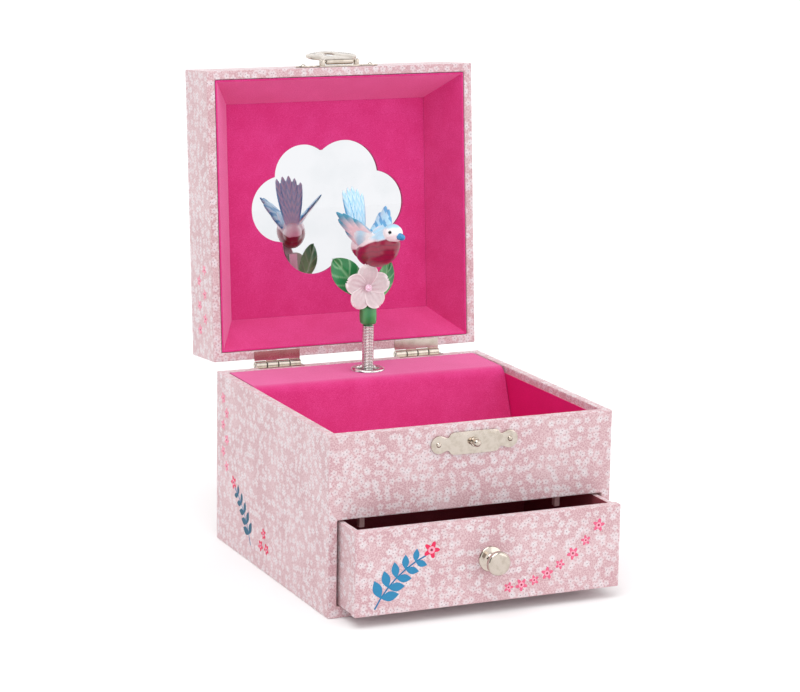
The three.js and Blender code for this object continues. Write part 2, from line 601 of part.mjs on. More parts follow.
// ---- Spring, flower and bird ----
function buildFigure() {
  const spring = turned(ringProfile(SPRING_RADIUS, SPRING_BORE, SPRING_FOOT, SPRING_TOP), 24);
  put(box, "stem_spring", alongZ(spring).translate(0, SPINDLE_Y, 0), steel);

  const peg = SPRING_BORE - FIT;
  const low = SPRING_TOP + 0.1;
  const top = low + COLLAR_HEIGHT;
  const collar = [
    [0, low - 4], [peg, low - 4], [peg, low], [COLLAR_RADIUS * 0.7, low], [COLLAR_RADIUS, low + 1.5],
    [COLLAR_RADIUS, top - 1.5], [COLLAR_RADIUS * 0.8, top], [0, top],
  ];
  const flowerZ = SPRING_TOP + FLOWER_RISE;
  const leafY = SPINDLE_Y + 2.6;
  const leaves = [
    [[-1, -9], [-11, 0], [-20.5, 6], [-21.8, 10], [-18.5, 16.6], [-12.5, 13], [-7, 6]],
    [[1, -9], [9, 1], [14, 7], [13.4, 11.8], [8, 8.6]],
  ];
  const sheets = leaves.map((points) => {
    const raised = points.map(([x, z]) => [x, z + flowerZ]);
    return frontPlate(polygon(raised), leafY, 2);
  });
  const post = block(-2.4, 2.4, SPINDLE_Y + 0.6, SPINDLE_Y + 3.6, low + 4, flowerZ + 8.6);
  const stalk = joined(alongZ(turned(collar, 28)).translate(0, SPINDLE_Y, 0), post, ...sheets);
  put(box, "leaf_collar", stalk, green);

  const petals = [];
  const reach = FLOWER_RADIUS * 0.5;
  const size = FLOWER_RADIUS * 0.52;
  const flowerY = SPINDLE_Y - 3;
  const [flowerX, rise] = FLOWER_SHIFT;
  const middle = flowerZ + rise;
  for (let i = 0; i < 5; i += 1) {
    const angle = (90 + 72 * i) * DEG;
    const ball = new THREE.SphereGeometry(1, 12, 8).scale(size, 2.6, size);
    petals.push(ball.translate(flowerX + reach * Math.cos(angle), flowerY, middle + reach * Math.sin(angle)));
  }
  petals.push(new THREE.SphereGeometry(1, 12, 8).scale(4, 2.4, 4).translate(flowerX, flowerY, middle));
  const gemSeat = rodY(1.9, flowerX, middle, flowerY - 6, flowerY - 1, 16);
  const behind = block(-20, 20, SPINDLE_Y + 0.2, SPINDLE_Y + 20, low, flowerZ + 30);
  const calyx = rodZ(COLLAR_RADIUS + FIT, 0, SPINDLE_Y, low, top + FIT);
  put(box, "flower_head", cut(joined(...petals), gemSeat, behind, calyx), petal);
  const gem = turned([[0, -3.6], [1.1, -3.2], [1.6, -2.2], [1.6, -1.6], [0, -1.05]], 12);
  put(box, "flower_gem", gem.translate(flowerX, flowerY, middle), crystal);

  buildBird(flowerZ);
}

// The bird is built facing the front, about the spindle and the flower's middle, then turned a little.
function buildBird(flowerZ) {
  const ball = (y, z, rx, ry, rz, lift) =>
    new THREE.SphereGeometry(1, 16, 10).scale(rx, ry, rz).rotateX(-lift * DEG).translate(0, y, z);
  const belly = ball(-5, 20.5, 8, 15, 9.2, 16);
  const head = ball(-16.6, 30.6, 5.1, 5.8, 5.2, 0);
  const beak = new THREE.ConeGeometry(2, 5, 12).rotateX(100 * DEG).translate(0, -22.8, 29.6);
  const tail = frontPlate(polygon([[-3, 0], [-7.4, 27], [-4, 30.4], [3, 30.2], [6.6, 26], [3, 0]]), 1.2, 2.4);
  tail.rotateX(-13 * DEG).translate(0, 6.5, 20);
  // Each wing is a plate set by its span, from root to tip, and its chord, from front to back.
  const wings = [-1, 1].map((side) => {
    const span = new THREE.Vector3(side * 13.2, 10, 15).normalize();
    const across = side < 0 ? new THREE.Vector3(-0.2, 0.85, -0.45) : new THREE.Vector3(0, 1, 0.1);
    const normal = new THREE.Vector3().crossVectors(across, span).normalize();
    const chord = new THREE.Vector3().crossVectors(span, normal).normalize();
    const outline = [[-6, -5], [-5, 10], [-1.5, 18.5], [1.5, 20.5], [4, 15], [6.5, -3]];
    const plate = prism(polygon(outline), 2).translate(0, 0, -1);
    const root = new THREE.Vector3(side * 4.4, -1.5, 26);
    return plate.applyMatrix4(new THREE.Matrix4().makeBasis(chord, span, normal).setPosition(root));
  });
  const whole = joined(belly, head, beak, tail, ...wings);
  const placed = whole.rotateZ(BIRD_TURN).translate(BIRD_SHIFT, SPINDLE_Y, flowerZ);
  const [flowerX, rise] = FLOWER_SHIFT;
  const perch = [
    block(-3, 3, SPINDLE_Y + 0.3, SPINDLE_Y + 3.9, flowerZ, flowerZ + 8.9),
    rodY(FLOWER_RADIUS * 1.02 + FIT, flowerX, flowerZ + rise, SPINDLE_Y - 6, SPINDLE_Y + 0.5, 24),
  ];
  put(box, "bird", cut(placed, ...perch), blue);
}

// ---- Musical movement on the inside of the back wall ----
function buildMovement() {
  const [width, , height] = MOVEMENT_PLATE;
  const plateBack = IN_D - 0.1;
  const plateTop = TOP_BEARING + 2;
  const plateFoot = Math.max(plateTop - height, BASE_THICK + 1);
  const reach = SPINDLE_Y - 5;
  const lug = (level) =>
    block(GOVERNOR_X - 4, 6, reach, PLATE_FRONT + 0.5, level - BEARING_THICK, level);
  const combBlockX = DRUM_RADIUS + PIN_HEIGHT + 9.6;
  const frame = joined(
    block(-width / 2, width / 2, PLATE_FRONT, plateBack, plateFoot, plateTop),
    lug(TOP_BEARING),
    lug(LOW_BEARING),
    block(combBlockX, combBlockX + 9, SPINDLE_Y + 0.9, PLATE_FRONT + 0.5, DRUM_FOOT, DRUM_TOP),
    block(WORM_X - 6, WORM_X - 4, SPINDLE_Y - 8, PLATE_FRONT + 0.5, WORM_Z - 3, WORM_Z + 3),
    block(WORM_X - 6, WORM_X + 2, SPINDLE_Y - 8, SPINDLE_Y - 6.5, WORM_Z - 3, WORM_Z + 3),
  );
  const combScrewX = combBlockX + 4.5;
  const combScrewZ = [DRUM_FOOT + 4, DRUM_TOP - 4];
  const holes = [
    rodZ(SPINDLE_RADIUS + FIT, 0, SPINDLE_Y, LOW_BEARING - 4, TOP_BEARING + 4),
    rodZ(0.8 + FIT, GOVERNOR_X, SPINDLE_Y, LOW_BEARING - 4, TOP_BEARING + 4, 16),
    rodY(KEY_ARBOR_RADIUS + FIT, 0, KEY_Z, PLATE_FRONT - 1, IN_D + 1),
    rodY(0.6 + FIT, WORM_X, WORM_Z, SPINDLE_Y - 10, PLATE_FRONT - 1, 16),
    ...combScrewZ.map((z) => rodY(1 + FIT, combScrewX, z, SPINDLE_Y, SPINDLE_Y + 8, 16)),
  ];
  put(box, "movement_bedplate", cut(frame, ...holes), zinc);

  // Comb: one tooth for each note, with its tips clear of the pins.
  const tip = DRUM_RADIUS + PIN_HEIGHT + 0.3;
  const pitch = DRUM_LENGTH / NOTES;
  const outline = [[combBlockX + 9, DRUM_TOP], [combBlockX - 1, DRUM_TOP]];
  for (let i = 0; i < NOTES; i += 1) {
    const high = DRUM_TOP - i * pitch - 0.12;
    const low = high - pitch + 0.24;
    const root = combBlockX - 1 - (3 * i) / NOTES;
    outline.push([root, high], [tip, high], [tip, low], [root, low]);
  }
  outline.push([combBlockX - 1, DRUM_FOOT], [combBlockX + 9, DRUM_FOOT]);
  const comb = frontPlate(polygon(outline), SPINDLE_Y + 0.6, 1.2);
  const screwHoles = combScrewZ.map((z) => rodY(1 + FIT, combScrewX, z, SPINDLE_Y - 3, SPINDLE_Y + 3, 16));
  put(box, "comb", cut(comb, ...screwHoles), steel);
  combScrewZ.forEach((z, i) => {
    const seat = SPINDLE_Y - 0.6 - 0.1;
    const screw = [[0, seat - 1.4], [1.6, seat - 1.2], [1.8, seat], [1, seat], [1, seat + 6], [0, seat + 6]];
    put(box, "comb_screw_" + (i + 1), turned(screw, 16).translate(combScrewX, 0, z), steel);
  });

  // Spring housing behind the crown wheel, and the mainspring coiled in it.
  const cup = CROWN_RIM;
  const mouth = CROWN_FACE + 3.4;
  const floor = PLATE_FRONT - 0.1;
  const shell = [
    [cup - 1, mouth], [cup, mouth], [cup, floor], [KEY_ARBOR_RADIUS + 1, floor],
    [KEY_ARBOR_RADIUS + 1, floor - 0.8], [cup - 1, floor - 0.8], [cup - 1, mouth],
  ];
  put(box, "spring_housing", turned(shell, 32).translate(0, 0, KEY_Z), steel);
  put(box, "mainspring", mainspring(KEY_ARBOR_RADIUS + 1.2, cup - 1.6, mouth + 0.2, floor - 1.1), steel);
}

// A flat spiral strip on edge, drawn round the key's arbor.
function mainspring(inner, outer, front, back) {
  const turns = 4;
  const steps = turns * 16;
  const strip = 0.35;
  const edge = (offset) => (_, i) => {
    const share = i / steps;
    const r = inner + (outer - inner) * share + offset;
    const angle = share * turns * 2 * Math.PI;
    return [r * Math.cos(angle), r * Math.sin(angle) + KEY_Z];
  };
  const steady = Array.from({ length: steps + 1 });
  const outline = [...steady.map(edge(strip)), ...steady.map(edge(0)).reverse()];
  return frontPlate(polygon(outline), back, back - front);
}

function buildGreatWheel() {
  const discFront = CROWN_FACE + 0.9;
  const pieces = [
    rodY(CROWN_RIM, 0, KEY_Z, discFront, discFront + 1.6, 40),
    rodY(KEY_ARBOR_RADIUS, 0, KEY_Z, discFront + 1, HALF_D + 8),
  ];
  const width = ((2 * Math.PI * CROWN_RADIUS) / CROWN_TEETH) * 0.36;
  for (let i = 0; i < CROWN_TEETH; i += 1) {
    const tooth = block(
      -width / 2, width / 2, CROWN_FACE - 0.5, discFront + 0.3, CROWN_RADIUS - 1, CROWN_RADIUS + 1,
    );
    pieces.push(tooth.rotateY((i / CROWN_TEETH) * 2 * Math.PI).translate(0, 0, KEY_Z));
  }
  put(box, "great_wheel", joined(...pieces), brass);

  const root = HALF_D + 1.2;
  const end = HALF_D + KEY_LENGTH;
  const hub = rodY(3.6, 0, KEY_Z, root, HALF_D + 10.5);
  const wings = [-1, 1].map((side) => {
    const wing = new THREE.Shape();
    wing.absellipse(side * 7, end - 6.5, 6.5, 6.5, 0, 2 * Math.PI, false);
    const hole = new THREE.Path();
    hole.absellipse(side * 7, end - 6.5, 3, 3, 0, 2 * Math.PI, true);
    wing.holes.push(hole);
    return prism(wing, 1.8, 10).translate(0, 0, KEY_Z - 0.9);
  });
  const bridge = block(-3, 3, HALF_D + 8, end - 4, KEY_Z - 0.9, KEY_Z + 0.9);
  const socket = rodY(KEY_ARBOR_RADIUS + FIT, 0, KEY_Z, root - 1, HALF_D + 8.5);
  put(box, "winding_key", cut(joined(hub, bridge, ...wings), socket), nickel);
}

function buildCylinder() {
  const at = (geometry) => geometry.translate(0, SPINDLE_Y, 0);
  const gear = gearShape(DRUM_GEAR_TEETH, DRUM_GEAR_RADIUS, 0);
  const step = (2 * Math.PI) / DRUM_PINION_TEETH;
  const pinion = gearShape(DRUM_PINION_TEETH, PINION_RADIUS, Math.PI / 2 + step / 2);
  const pieces = [
    rodZ(DRUM_RADIUS, 0, SPINDLE_Y, DRUM_FOOT, DRUM_TOP, 24),
    rodZ(SPINDLE_RADIUS, 0, SPINDLE_Y, PINION_LEVEL - PINION_THICK - 1, SPRING_FOOT + 3),
    rodZ(SPRING_BORE - FIT, 0, SPINDLE_Y, SPRING_FOOT - 1.4, SPRING_FOOT + 4.6),
    at(prism(gear, GEAR_THICK).translate(0, 0, GEAR_LEVEL - GEAR_THICK)),
    at(prism(pinion, PINION_THICK).translate(0, 0, PINION_LEVEL - PINION_THICK)),
  ];
  const pitch = DRUM_LENGTH / NOTES;
  for (let note = 0; note < NOTES; note += 1) {
    const angle = (note * 7 + (note % 3) * 4 + 0.5) * 15 * DEG;
    const pin = block(DRUM_RADIUS - 1, DRUM_RADIUS + PIN_HEIGHT, -0.2, 0.2, -0.2, 0.2);
    pieces.push(at(pin.rotateZ(angle).translate(0, 0, DRUM_TOP - (note + 0.5) * pitch)));
  }
  put(box, "pinned_cylinder", joined(...pieces), brass);
}

// A screw thread round +Y: the ridge is where the distance along the axis matches the angle.
function wormThread(length) {
  const pitch = (2 * Math.PI * WORM_WHEEL_RADIUS) / WORM_WHEEL_TEETH;
  const lead = pitch * WORM_STARTS;
  const [around, rows] = [12, Math.round((length / pitch) * 6)];
  const points = [];
  const faces = [];
  const heightAt = (angle, y) => {
    const turns = (y - (lead * angle) / (2 * Math.PI)) / pitch;
    const off = Math.abs(turns - Math.round(turns));
    return THREE.MathUtils.clamp((0.26 - off) / 0.12, 0, 1);
  };
  for (let row = 0; row <= rows; row += 1) {
    const y = (row / rows - 0.5) * length;
    for (let i = 0; i < around; i += 1) {
      const angle = (i / around) * 2 * Math.PI;
      const r = WORM_RADIUS - 0.5 + 0.9 * heightAt(angle, y);
      points.push(r * Math.cos(angle), y, -r * Math.sin(angle));
    }
  }
  points.push(0, -length / 2, 0, 0, length / 2, 0);
  const [low, high] = [(rows + 1) * around, (rows + 1) * around + 1];
  for (let i = 0; i < around; i += 1) {
    const next = (i + 1) % around;
    for (let row = 0; row < rows; row += 1) {
      const [a, b] = [row * around + i, row * around + next];
      faces.push(a, b, a + around, b, b + around, a + around);
    }
    faces.push(low, next, i, high, rows * around + i, rows * around + next);
  }
  const geometry = new THREE.BufferGeometry();
  geometry.setAttribute("position", new THREE.Float32BufferAttribute(points, 3));
  geometry.setIndex(faces);
  return geometry;
}

function buildGovernor() {
  const pinionStep = Math.PI / GOVERNOR_PINION_TEETH;
  const wheelStep = Math.PI / WORM_WHEEL_TEETH;
  const pinion = gearShape(GOVERNOR_PINION_TEETH, GOVERNOR_PINION_RADIUS, pinionStep);
  const wheel = gearShape(WORM_WHEEL_TEETH, WORM_WHEEL_RADIUS, Math.PI + wheelStep, 0.3, 0.7);
  const at = (geometry) => geometry.translate(GOVERNOR_X, SPINDLE_Y, 0);
  const governor = joined(
    rodZ(0.8, GOVERNOR_X, SPINDLE_Y, LOW_BEARING - BEARING_THICK, TOP_BEARING, 16),
    at(prism(pinion, GEAR_THICK + 0.6).translate(0, 0, GEAR_LEVEL - GEAR_THICK - 0.3)),
    at(prism(wheel, 1.2).translate(0, 0, WORM_Z - 0.6)),
  );
  put(box, "governor_wheel", governor, brass);

  const worm = wormThread(6.28).translate(WORM_X, SPINDLE_Y, WORM_Z);
  const arbor = rodY(0.6, WORM_X, WORM_Z, SPINDLE_Y - 14, PLATE_FRONT - 0.4, 12);
  const hub = rodY(1.2, WORM_X, WORM_Z, SPINDLE_Y - 13, SPINDLE_Y - 9.5, 16);
  const vane = block(WORM_X - 4.6, WORM_X + 4.6, SPINDLE_Y - 12.8, SPINDLE_Y - 9.7, WORM_Z - 0.3, WORM_Z + 0.3);
  put(box, "air_fly", joined(worm, arbor, hub, vane), steel);
}

buildCase();
buildTray();
buildFerrule();
buildStrike();
buildHinges();
buildLid();
buildHasp();
buildDrawer();
buildFigure();
buildMovement();
buildGreatWheel();
buildCylinder();
buildGovernor();

lidClosed.position.set(0, -PIN_Y, -PIN_Z);
lid.position.set(0, PIN_Y, PIN_Z);
lid.rotation.x = -LID_OPEN;
lid.add(lidClosed);
box.add(lid, drawer);

export default box;
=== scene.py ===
import json
import math

import bmesh
import bpy
import numpy as np
from bpy.props import FloatProperty, FloatVectorProperty, IntProperty, PointerProperty
from mathutils import Matrix, Vector

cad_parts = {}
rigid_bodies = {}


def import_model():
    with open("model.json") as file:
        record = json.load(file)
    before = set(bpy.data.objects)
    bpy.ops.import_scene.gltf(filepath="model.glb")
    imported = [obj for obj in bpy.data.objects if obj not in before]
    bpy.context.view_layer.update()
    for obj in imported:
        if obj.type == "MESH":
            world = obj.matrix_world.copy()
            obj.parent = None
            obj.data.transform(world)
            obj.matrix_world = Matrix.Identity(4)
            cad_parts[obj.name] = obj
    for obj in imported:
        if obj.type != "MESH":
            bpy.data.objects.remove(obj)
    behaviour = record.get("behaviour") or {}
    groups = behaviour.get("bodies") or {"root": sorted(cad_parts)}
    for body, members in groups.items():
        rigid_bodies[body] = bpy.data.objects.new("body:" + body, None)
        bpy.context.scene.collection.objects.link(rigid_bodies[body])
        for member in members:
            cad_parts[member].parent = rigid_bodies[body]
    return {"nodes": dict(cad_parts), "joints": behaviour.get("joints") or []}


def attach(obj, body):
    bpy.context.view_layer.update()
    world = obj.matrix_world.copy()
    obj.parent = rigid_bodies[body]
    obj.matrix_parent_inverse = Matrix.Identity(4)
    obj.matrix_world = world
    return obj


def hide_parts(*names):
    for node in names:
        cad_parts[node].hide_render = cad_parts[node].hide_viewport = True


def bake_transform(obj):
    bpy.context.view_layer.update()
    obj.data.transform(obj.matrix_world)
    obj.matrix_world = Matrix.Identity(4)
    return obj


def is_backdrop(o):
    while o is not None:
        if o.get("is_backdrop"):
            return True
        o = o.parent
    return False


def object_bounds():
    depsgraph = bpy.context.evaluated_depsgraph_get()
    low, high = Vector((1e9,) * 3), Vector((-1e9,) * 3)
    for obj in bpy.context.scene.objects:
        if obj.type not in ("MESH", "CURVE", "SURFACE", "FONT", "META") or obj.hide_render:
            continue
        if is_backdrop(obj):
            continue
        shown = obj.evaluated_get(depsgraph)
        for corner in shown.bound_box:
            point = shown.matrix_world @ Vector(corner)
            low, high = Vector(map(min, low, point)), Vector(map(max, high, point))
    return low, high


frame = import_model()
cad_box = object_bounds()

bl_info = {
    "name": "Musical jewellery box",
    "version": (1, 0, 0),
    "blender": (4, 5, 0),
    "location": "View3D > Sidebar > Jewellery box",
    "description": "Papered box with a drawer, a flocked tray, a mirror lid and a bird that turns to music",
    "category": "Add Mesh",
}

# All shapes are worked out in millimetres and become metres when a piece is finished.
METRES = 0.001


def tint(red, green, blue):
    """A linear colour from its 0 to 255 screen values."""
    return tuple(
        c / 12.92 if c <= 0.04045 else ((c + 0.055) / 1.055) ** 2.4
        for c in (red / 255, green / 255, blue / 255)
    )


def opaque(colour):
    return (*tuple(colour)[:3], 1.0)


# ---- Sizes and colours ----
def length(name, text, default, low, high):
    """A size in millimetres."""
    return FloatProperty(name=name, description=text, default=default, min=low, max=high, unit="NONE")


def colour(name, text, default):
    return FloatVectorProperty(
        name=name, description=text, default=default, size=3, min=0, max=1, subtype="COLOR"
    )


class BoxSizes(bpy.types.PropertyGroup):
    board_edge: length("Board edge", "Radius of the papered boards' edges, in millimetres", 0.55, 0.1, 1.5)
    flock_edge: length("Flock edge", "Radius of the flocked pieces' edges, in millimetres", 0.5, 0.1, 1.4)
    metal_edge: length(
        "Metal edge", "Edge radius of the stamped fittings, in millimetres", 0.22, 0.05, 0.35,
    )
    cover_fillet: length("Ledge fillet", "Roll of the flocked ledge's front edge, in millimetres", 5, 1, 8)
    blossom_spacing: length(
        "Blossom spacing", "Middle to middle of the printed blossoms, in millimetres", 4.1, 2, 12,
    )
    blossom_radius: length("Blossom radius", "Radius of a printed blossom, in millimetres", 1.75, 0.5, 4)
    spring_wire: length("Spring wire", "Diameter of the stem spring's wire, in millimetres", 0.8, 0.3, 1.2)
    spring_turns: IntProperty(
        name="Spring turns", description="Turns in the stem spring", default=30, min=8, max=60,
    )
    star_size: length("Star flower", "Radius of the larger printed flowers, in millimetres", 3.3, 1, 6)


class BoxColours(bpy.types.PropertyGroup):
    paper: colour("Paper", "Ground of the printed paper", tint(193, 149, 156))
    paper_light: colour("Paper grain", "Light grain in the printed paper", tint(216, 188, 192))
    blossom: colour("Blossom", "Small printed blossoms", tint(226, 219, 222))
    flock: colour("Flock", "Flocked lining", tint(204, 26, 110))
    flock_light: colour("Flock tips", "Flock where its tips catch the light", tint(220, 60, 138))
    lining: colour("Lining", "Smooth paper of the tray's walls", tint(210, 8, 104))
    # The drawer lining's dull maroon is partly painted shade: it stands for the shade inside the drawer as
    # well as for its paper.
    drawer_lining_and_shade: colour("Drawer lining", "Paper inside the drawer", tint(150, 62, 74))
    blue: colour("Bird blue", "Strong blue of the feathers", tint(46, 150, 205))
    sky: colour("Bird pale blue", "Pale blue of the feathers", tint(150, 212, 238))
    crimson: colour("Bird breast", "The bird's breast", tint(146, 16, 58))
    petal: colour("Petals", "The moulded flower", tint(218, 207, 209))
    leaf: colour("Leaves", "Leaves and collar", tint(30, 132, 70))


# ---- Shader trees ----
class Value:
    """One output in a shader tree. Arithmetic on it adds the Math nodes."""

    def __init__(self, shader, socket):
        self.shader = shader
        self.socket = socket

    def math(self, operation, *others):
        return self.shader.out("ShaderNodeMath", {"operation": operation}, dict(enumerate((self, *others))))

    def __add__(self, other):
        return self.math("ADD", other)

    def __sub__(self, other):
        return self.math("SUBTRACT", other)

    def __rsub__(self, other):
        return self.shader.out("ShaderNodeMath", {"operation": "SUBTRACT"}, {0: other, 1: self})

    def __mul__(self, other):
        return self.math("MULTIPLY", other)

    def __truediv__(self, other):
        return self.math("DIVIDE", other)

    __radd__ = __add__
    __rmul__ = __mul__


class Nodes:
    """A shader tree, and one way to add any node to it."""

    def __init__(self, tree):
        self.tree = tree

    def add(self, kind, settings=(), inputs=()):
        node = self.tree.nodes.new(kind)
        for key, value in dict(settings).items():
            setattr(node, key, value)
        self.fill(node, inputs)
        return node

    def fill(self, node, inputs):
        for key, value in dict(inputs).items():
            if isinstance(value, Value):
                self.tree.links.new(value.socket, node.inputs[key])
            else:
                node.inputs[key].default_value = value

    def out(self, kind, settings=(), inputs=(), output=0):
        return Value(self, self.add(kind, settings, inputs).outputs[output])

    def place(self):
        """The piece's own coordinates, in millimetres."""
        at = self.out("ShaderNodeTexCoord", output="Object")
        return self.scaled(at, 1 / METRES)

    def scaled(self, vector, times):
        return self.out("ShaderNodeVectorMath", {"operation": "SCALE"}, {0: vector, "Scale": times})

    def stretched(self, vector, x, y, z):
        return self.out("ShaderNodeVectorMath", {"operation": "MULTIPLY"}, {0: vector, 1: (x, y, z)})

    def noise(self, vector, scale, detail=2.0, flat=False):
        settings = {"noise_dimensions": "2D" if flat else "3D"}
        return self.out("ShaderNodeTexNoise", settings, {"Vector": vector, "Scale": scale, "Detail": detail})

    def step(self, value, low, high, to_low=0.0, to_high=1.0):
        inputs = {"Value": value, "From Min": low, "From Max": high, "To Min": to_low, "To Max": to_high}
        return self.out("ShaderNodeMapRange", {"interpolation_type": "SMOOTHSTEP"}, inputs)

    def mix(self, first, second, factor):
        pair = [c if isinstance(c, Value) else opaque(c) for c in (first, second)]
        return self.out("ShaderNodeMix", {"data_type": "RGBA"}, {0: factor, 6: pair[0], 7: pair[1]}, output=2)

    def bump(self, height, strength, depth):
        inputs = {"Strength": strength, "Distance": depth * METRES, "Height": height}
        return self.out("ShaderNodeBump", (), inputs)


class Finish(Nodes):
    """One material of the box."""

    def __init__(self, name):
        self.material = bpy.data.materials.new(name)
        self.material.use_nodes = True
        super().__init__(self.material.node_tree)

    def done(self, **inputs):
        named = {key.replace("_", " "): value for key, value in inputs.items()}
        self.fill(self.tree.nodes["Principled BSDF"], named)
        return self.material


def blossoms(finish, flat, spacing, radius, shift):
    """Five-petalled blossoms scattered over the paper, and the dots in their middles."""
    turn = {"operation": "ADD"}
    cells = finish.out("ShaderNodeVectorMath", turn, {0: finish.scaled(flat, 1 / spacing), 1: (*shift, 0)})
    settings = {"voronoi_dimensions": "2D", "feature": "F1"}
    node = finish.add("ShaderNodeTexVoronoi", settings, {"Vector": cells, "Scale": 1.0, "Randomness": 0.85})
    middle = Value(finish, node.outputs["Position"])
    chance = Value(finish, node.outputs["Color"])
    away = finish.out("ShaderNodeVectorMath", {"operation": "SUBTRACT"}, {0: cells, 1: middle})
    parts = finish.add("ShaderNodeSeparateXYZ", (), {0: away})
    x, y = Value(finish, parts.outputs[0]), Value(finish, parts.outputs[1])
    pick = finish.add("ShaderNodeSeparateColor", (), {0: chance})
    red, green = Value(finish, pick.outputs[0]), Value(finish, pick.outputs[1])
    reach = (x * x + y * y).math("SQRT") * spacing
    angle = y.math("ARCTAN2", x) * 2.5 + red * 9.0
    edge = (angle.math("COSINE").math("ABSOLUTE") * 0.42 + 0.58) * radius
    kept = finish.step(green, 0.27, 0.31)
    flower = finish.step(edge - reach, -0.08, 0.12) * kept
    dot = finish.step(reach, radius * 0.12, radius * 0.2, 1.0, 0.0) * kept
    return flower, dot


def make_printed_paper(sizes, colours):
    finish = Finish("printed_paper")
    flat = finish.out("ShaderNodeUVMap", {"uv_map": "paper"})
    across = finish.noise(finish.stretched(flat, 0.9, 2.4, 0), 1.0, 1.0, True)
    along = finish.noise(finish.stretched(flat, 2.4, 0.9, 0), 1.0, 1.0, True)
    drift = finish.noise(flat, 0.045, 2.0, True)
    grain = finish.step((across + along) * 0.5 + (drift - 0.5) * 0.25, 0.4, 0.6)
    base = finish.mix(colours.paper, colours.paper_light, grain)
    size = sizes.blossom_radius
    for spacing, shift in ((sizes.blossom_spacing, (0.0, 0.0)), (sizes.blossom_spacing * 1.35, (31.3, 17.7))):
        flower, dot = blossoms(finish, flat, spacing, size, shift)
        base = finish.mix(base, colours.blossom, flower * 0.55)
        base = finish.mix(base, tint(150, 128, 138), dot * 0.85)
    bump = finish.bump(grain, 0.25, 0.06)
    return finish.done(
        Base_Color=base, Roughness=finish.step(grain, 0, 1, 0.56, 0.66), Normal=bump,
        Sheen_Weight=0.32, Sheen_Roughness=0.4,
    )


def make_plain_paper(name, main, other, roughness=0.7):
    finish = Finish(name)
    fibres = finish.noise(finish.place(), 1.6, 4.0)
    drift = finish.noise(finish.place(), 0.06, 2.0)
    shade = finish.mix(main, other, finish.step(fibres * 0.7 + drift * 0.3, 0.35, 0.68))
    return finish.done(Base_Color=shade, Roughness=roughness, Normal=finish.bump(fibres, 0.2, 0.05))


def make_flock(colours):
    finish = Finish("flock")
    at = finish.place()
    tufts = finish.noise(at, 2.6, 3.0)
    drift = finish.noise(at, 0.08, 2.0)
    pile = finish.step(tufts * 0.75 + drift * 0.25, 0.38, 0.68)
    shade = finish.mix(colours.flock, colours.flock_light, pile)
    return finish.done(
        Base_Color=shade,
        Roughness=0.95,
        Sheen_Weight=0.95,
        Sheen_Roughness=0.5,
        Sheen_Tint=opaque(tint(255, 172, 220)),
        Normal=finish.bump(finish.noise(at, 5.0, 2.0), 0.45, 0.12),
    )


def make_metal(name, main, worn, roughness, spread, grain=(1, 1, 1), metallic=1.0):
    finish = Finish(name)
    at = finish.place()
    cloud = finish.noise(at, 0.35, 3.0)
    lines = finish.noise(finish.stretched(at, *grain), 2.0, 3.0)
    return finish.done(
        Base_Color=finish.mix(main, worn, finish.step(cloud, 0.4, 0.72)),
        Metallic=metallic,
        Roughness=finish.step(lines, 0.3, 0.7, roughness, roughness + spread),
        Normal=finish.bump(lines, 0.02, 0.002),
    )


def make_mirror():
    finish = Finish("mirror")
    haze = finish.noise(finish.place(), 0.05, 3.0)
    return finish.done(
        Base_Color=finish.mix(tint(225, 226, 229), tint(220, 222, 225), finish.step(haze, 0.4, 0.7)),
        Metallic=1.0,
        Roughness=finish.step(haze, 0.3, 0.8, 0.01, 0.03),
    )


def make_painted(name, roughness, coat, speckle, depth):
    """A glazed or printed piece that is coloured by its own paint attribute."""
    finish = Finish(name)
    at = finish.place()
    paint = finish.out("ShaderNodeAttribute", {"attribute_name": "paint"}, output="Color")
    cloud = finish.noise(at, 1.1, 3.0)
    shade = finish.out("ShaderNodeHueSaturation", (), {
        "Color": paint, "Value": finish.step(cloud, 0.25, 0.8, 1 - speckle, 1 + speckle),
    })
    return finish.done(
        Base_Color=shade,
        Roughness=finish.step(cloud, 0.3, 0.7, roughness, roughness + 0.08),
        Coat_Weight=coat,
        Coat_Roughness=0.12,
        Normal=finish.bump(finish.noise(at, 2.2, 2.0), 0.12, depth),
    )


def make_gem():
    finish = Finish("crystal")
    sparkle = finish.noise(finish.place(), 2.5, 1.0)
    shade = finish.mix(tint(226, 170, 204), tint(255, 240, 250), finish.step(sparkle, 0.4, 0.6))
    return finish.done(Base_Color=shade, Roughness=finish.step(sparkle, 0.3, 0.7, 0.04, 0.1), Coat_Weight=1.0)


materials = {}


def make_materials(sizes, colours):
    materials.update(
        paper=make_printed_paper(sizes, colours),
        plain=make_plain_paper("board_paper", tint(214, 176, 176), tint(226, 196, 196)),
        lining=make_plain_paper("lining_paper", colours.lining, tint(222, 16, 116), 0.5),
        # The drawer lining is partly painted shade: its maroon stands for the shade inside the drawer as well
        # as for the paper.
        dark=make_plain_paper("drawer_lining_paper", colours.drawer_lining_and_shade, tint(166, 76, 88), 0.8),
        flock=make_flock(colours),
        nickel=make_metal("nickel", tint(206, 195, 184), tint(190, 178, 165), 0.1, 0.05, (1, 1, 4)),
        steel=make_metal("steel", tint(226, 222, 220), tint(212, 206, 204), 0.16, 0.06),
        zinc=make_metal("zinc", tint(186, 186, 184), tint(160, 160, 158), 0.42, 0.16),
        brass=make_metal("brass", tint(222, 184, 104), tint(196, 152, 78), 0.24, 0.12, (1, 4, 1)),
        mirror=make_mirror(),
        glaze=make_painted("painted_resin", 0.3, 0.5, 0.05, 0.05),
        print=make_painted("printing_ink", 0.62, 0.0, 0.09, 0.03),
        gem=make_gem(),
    )


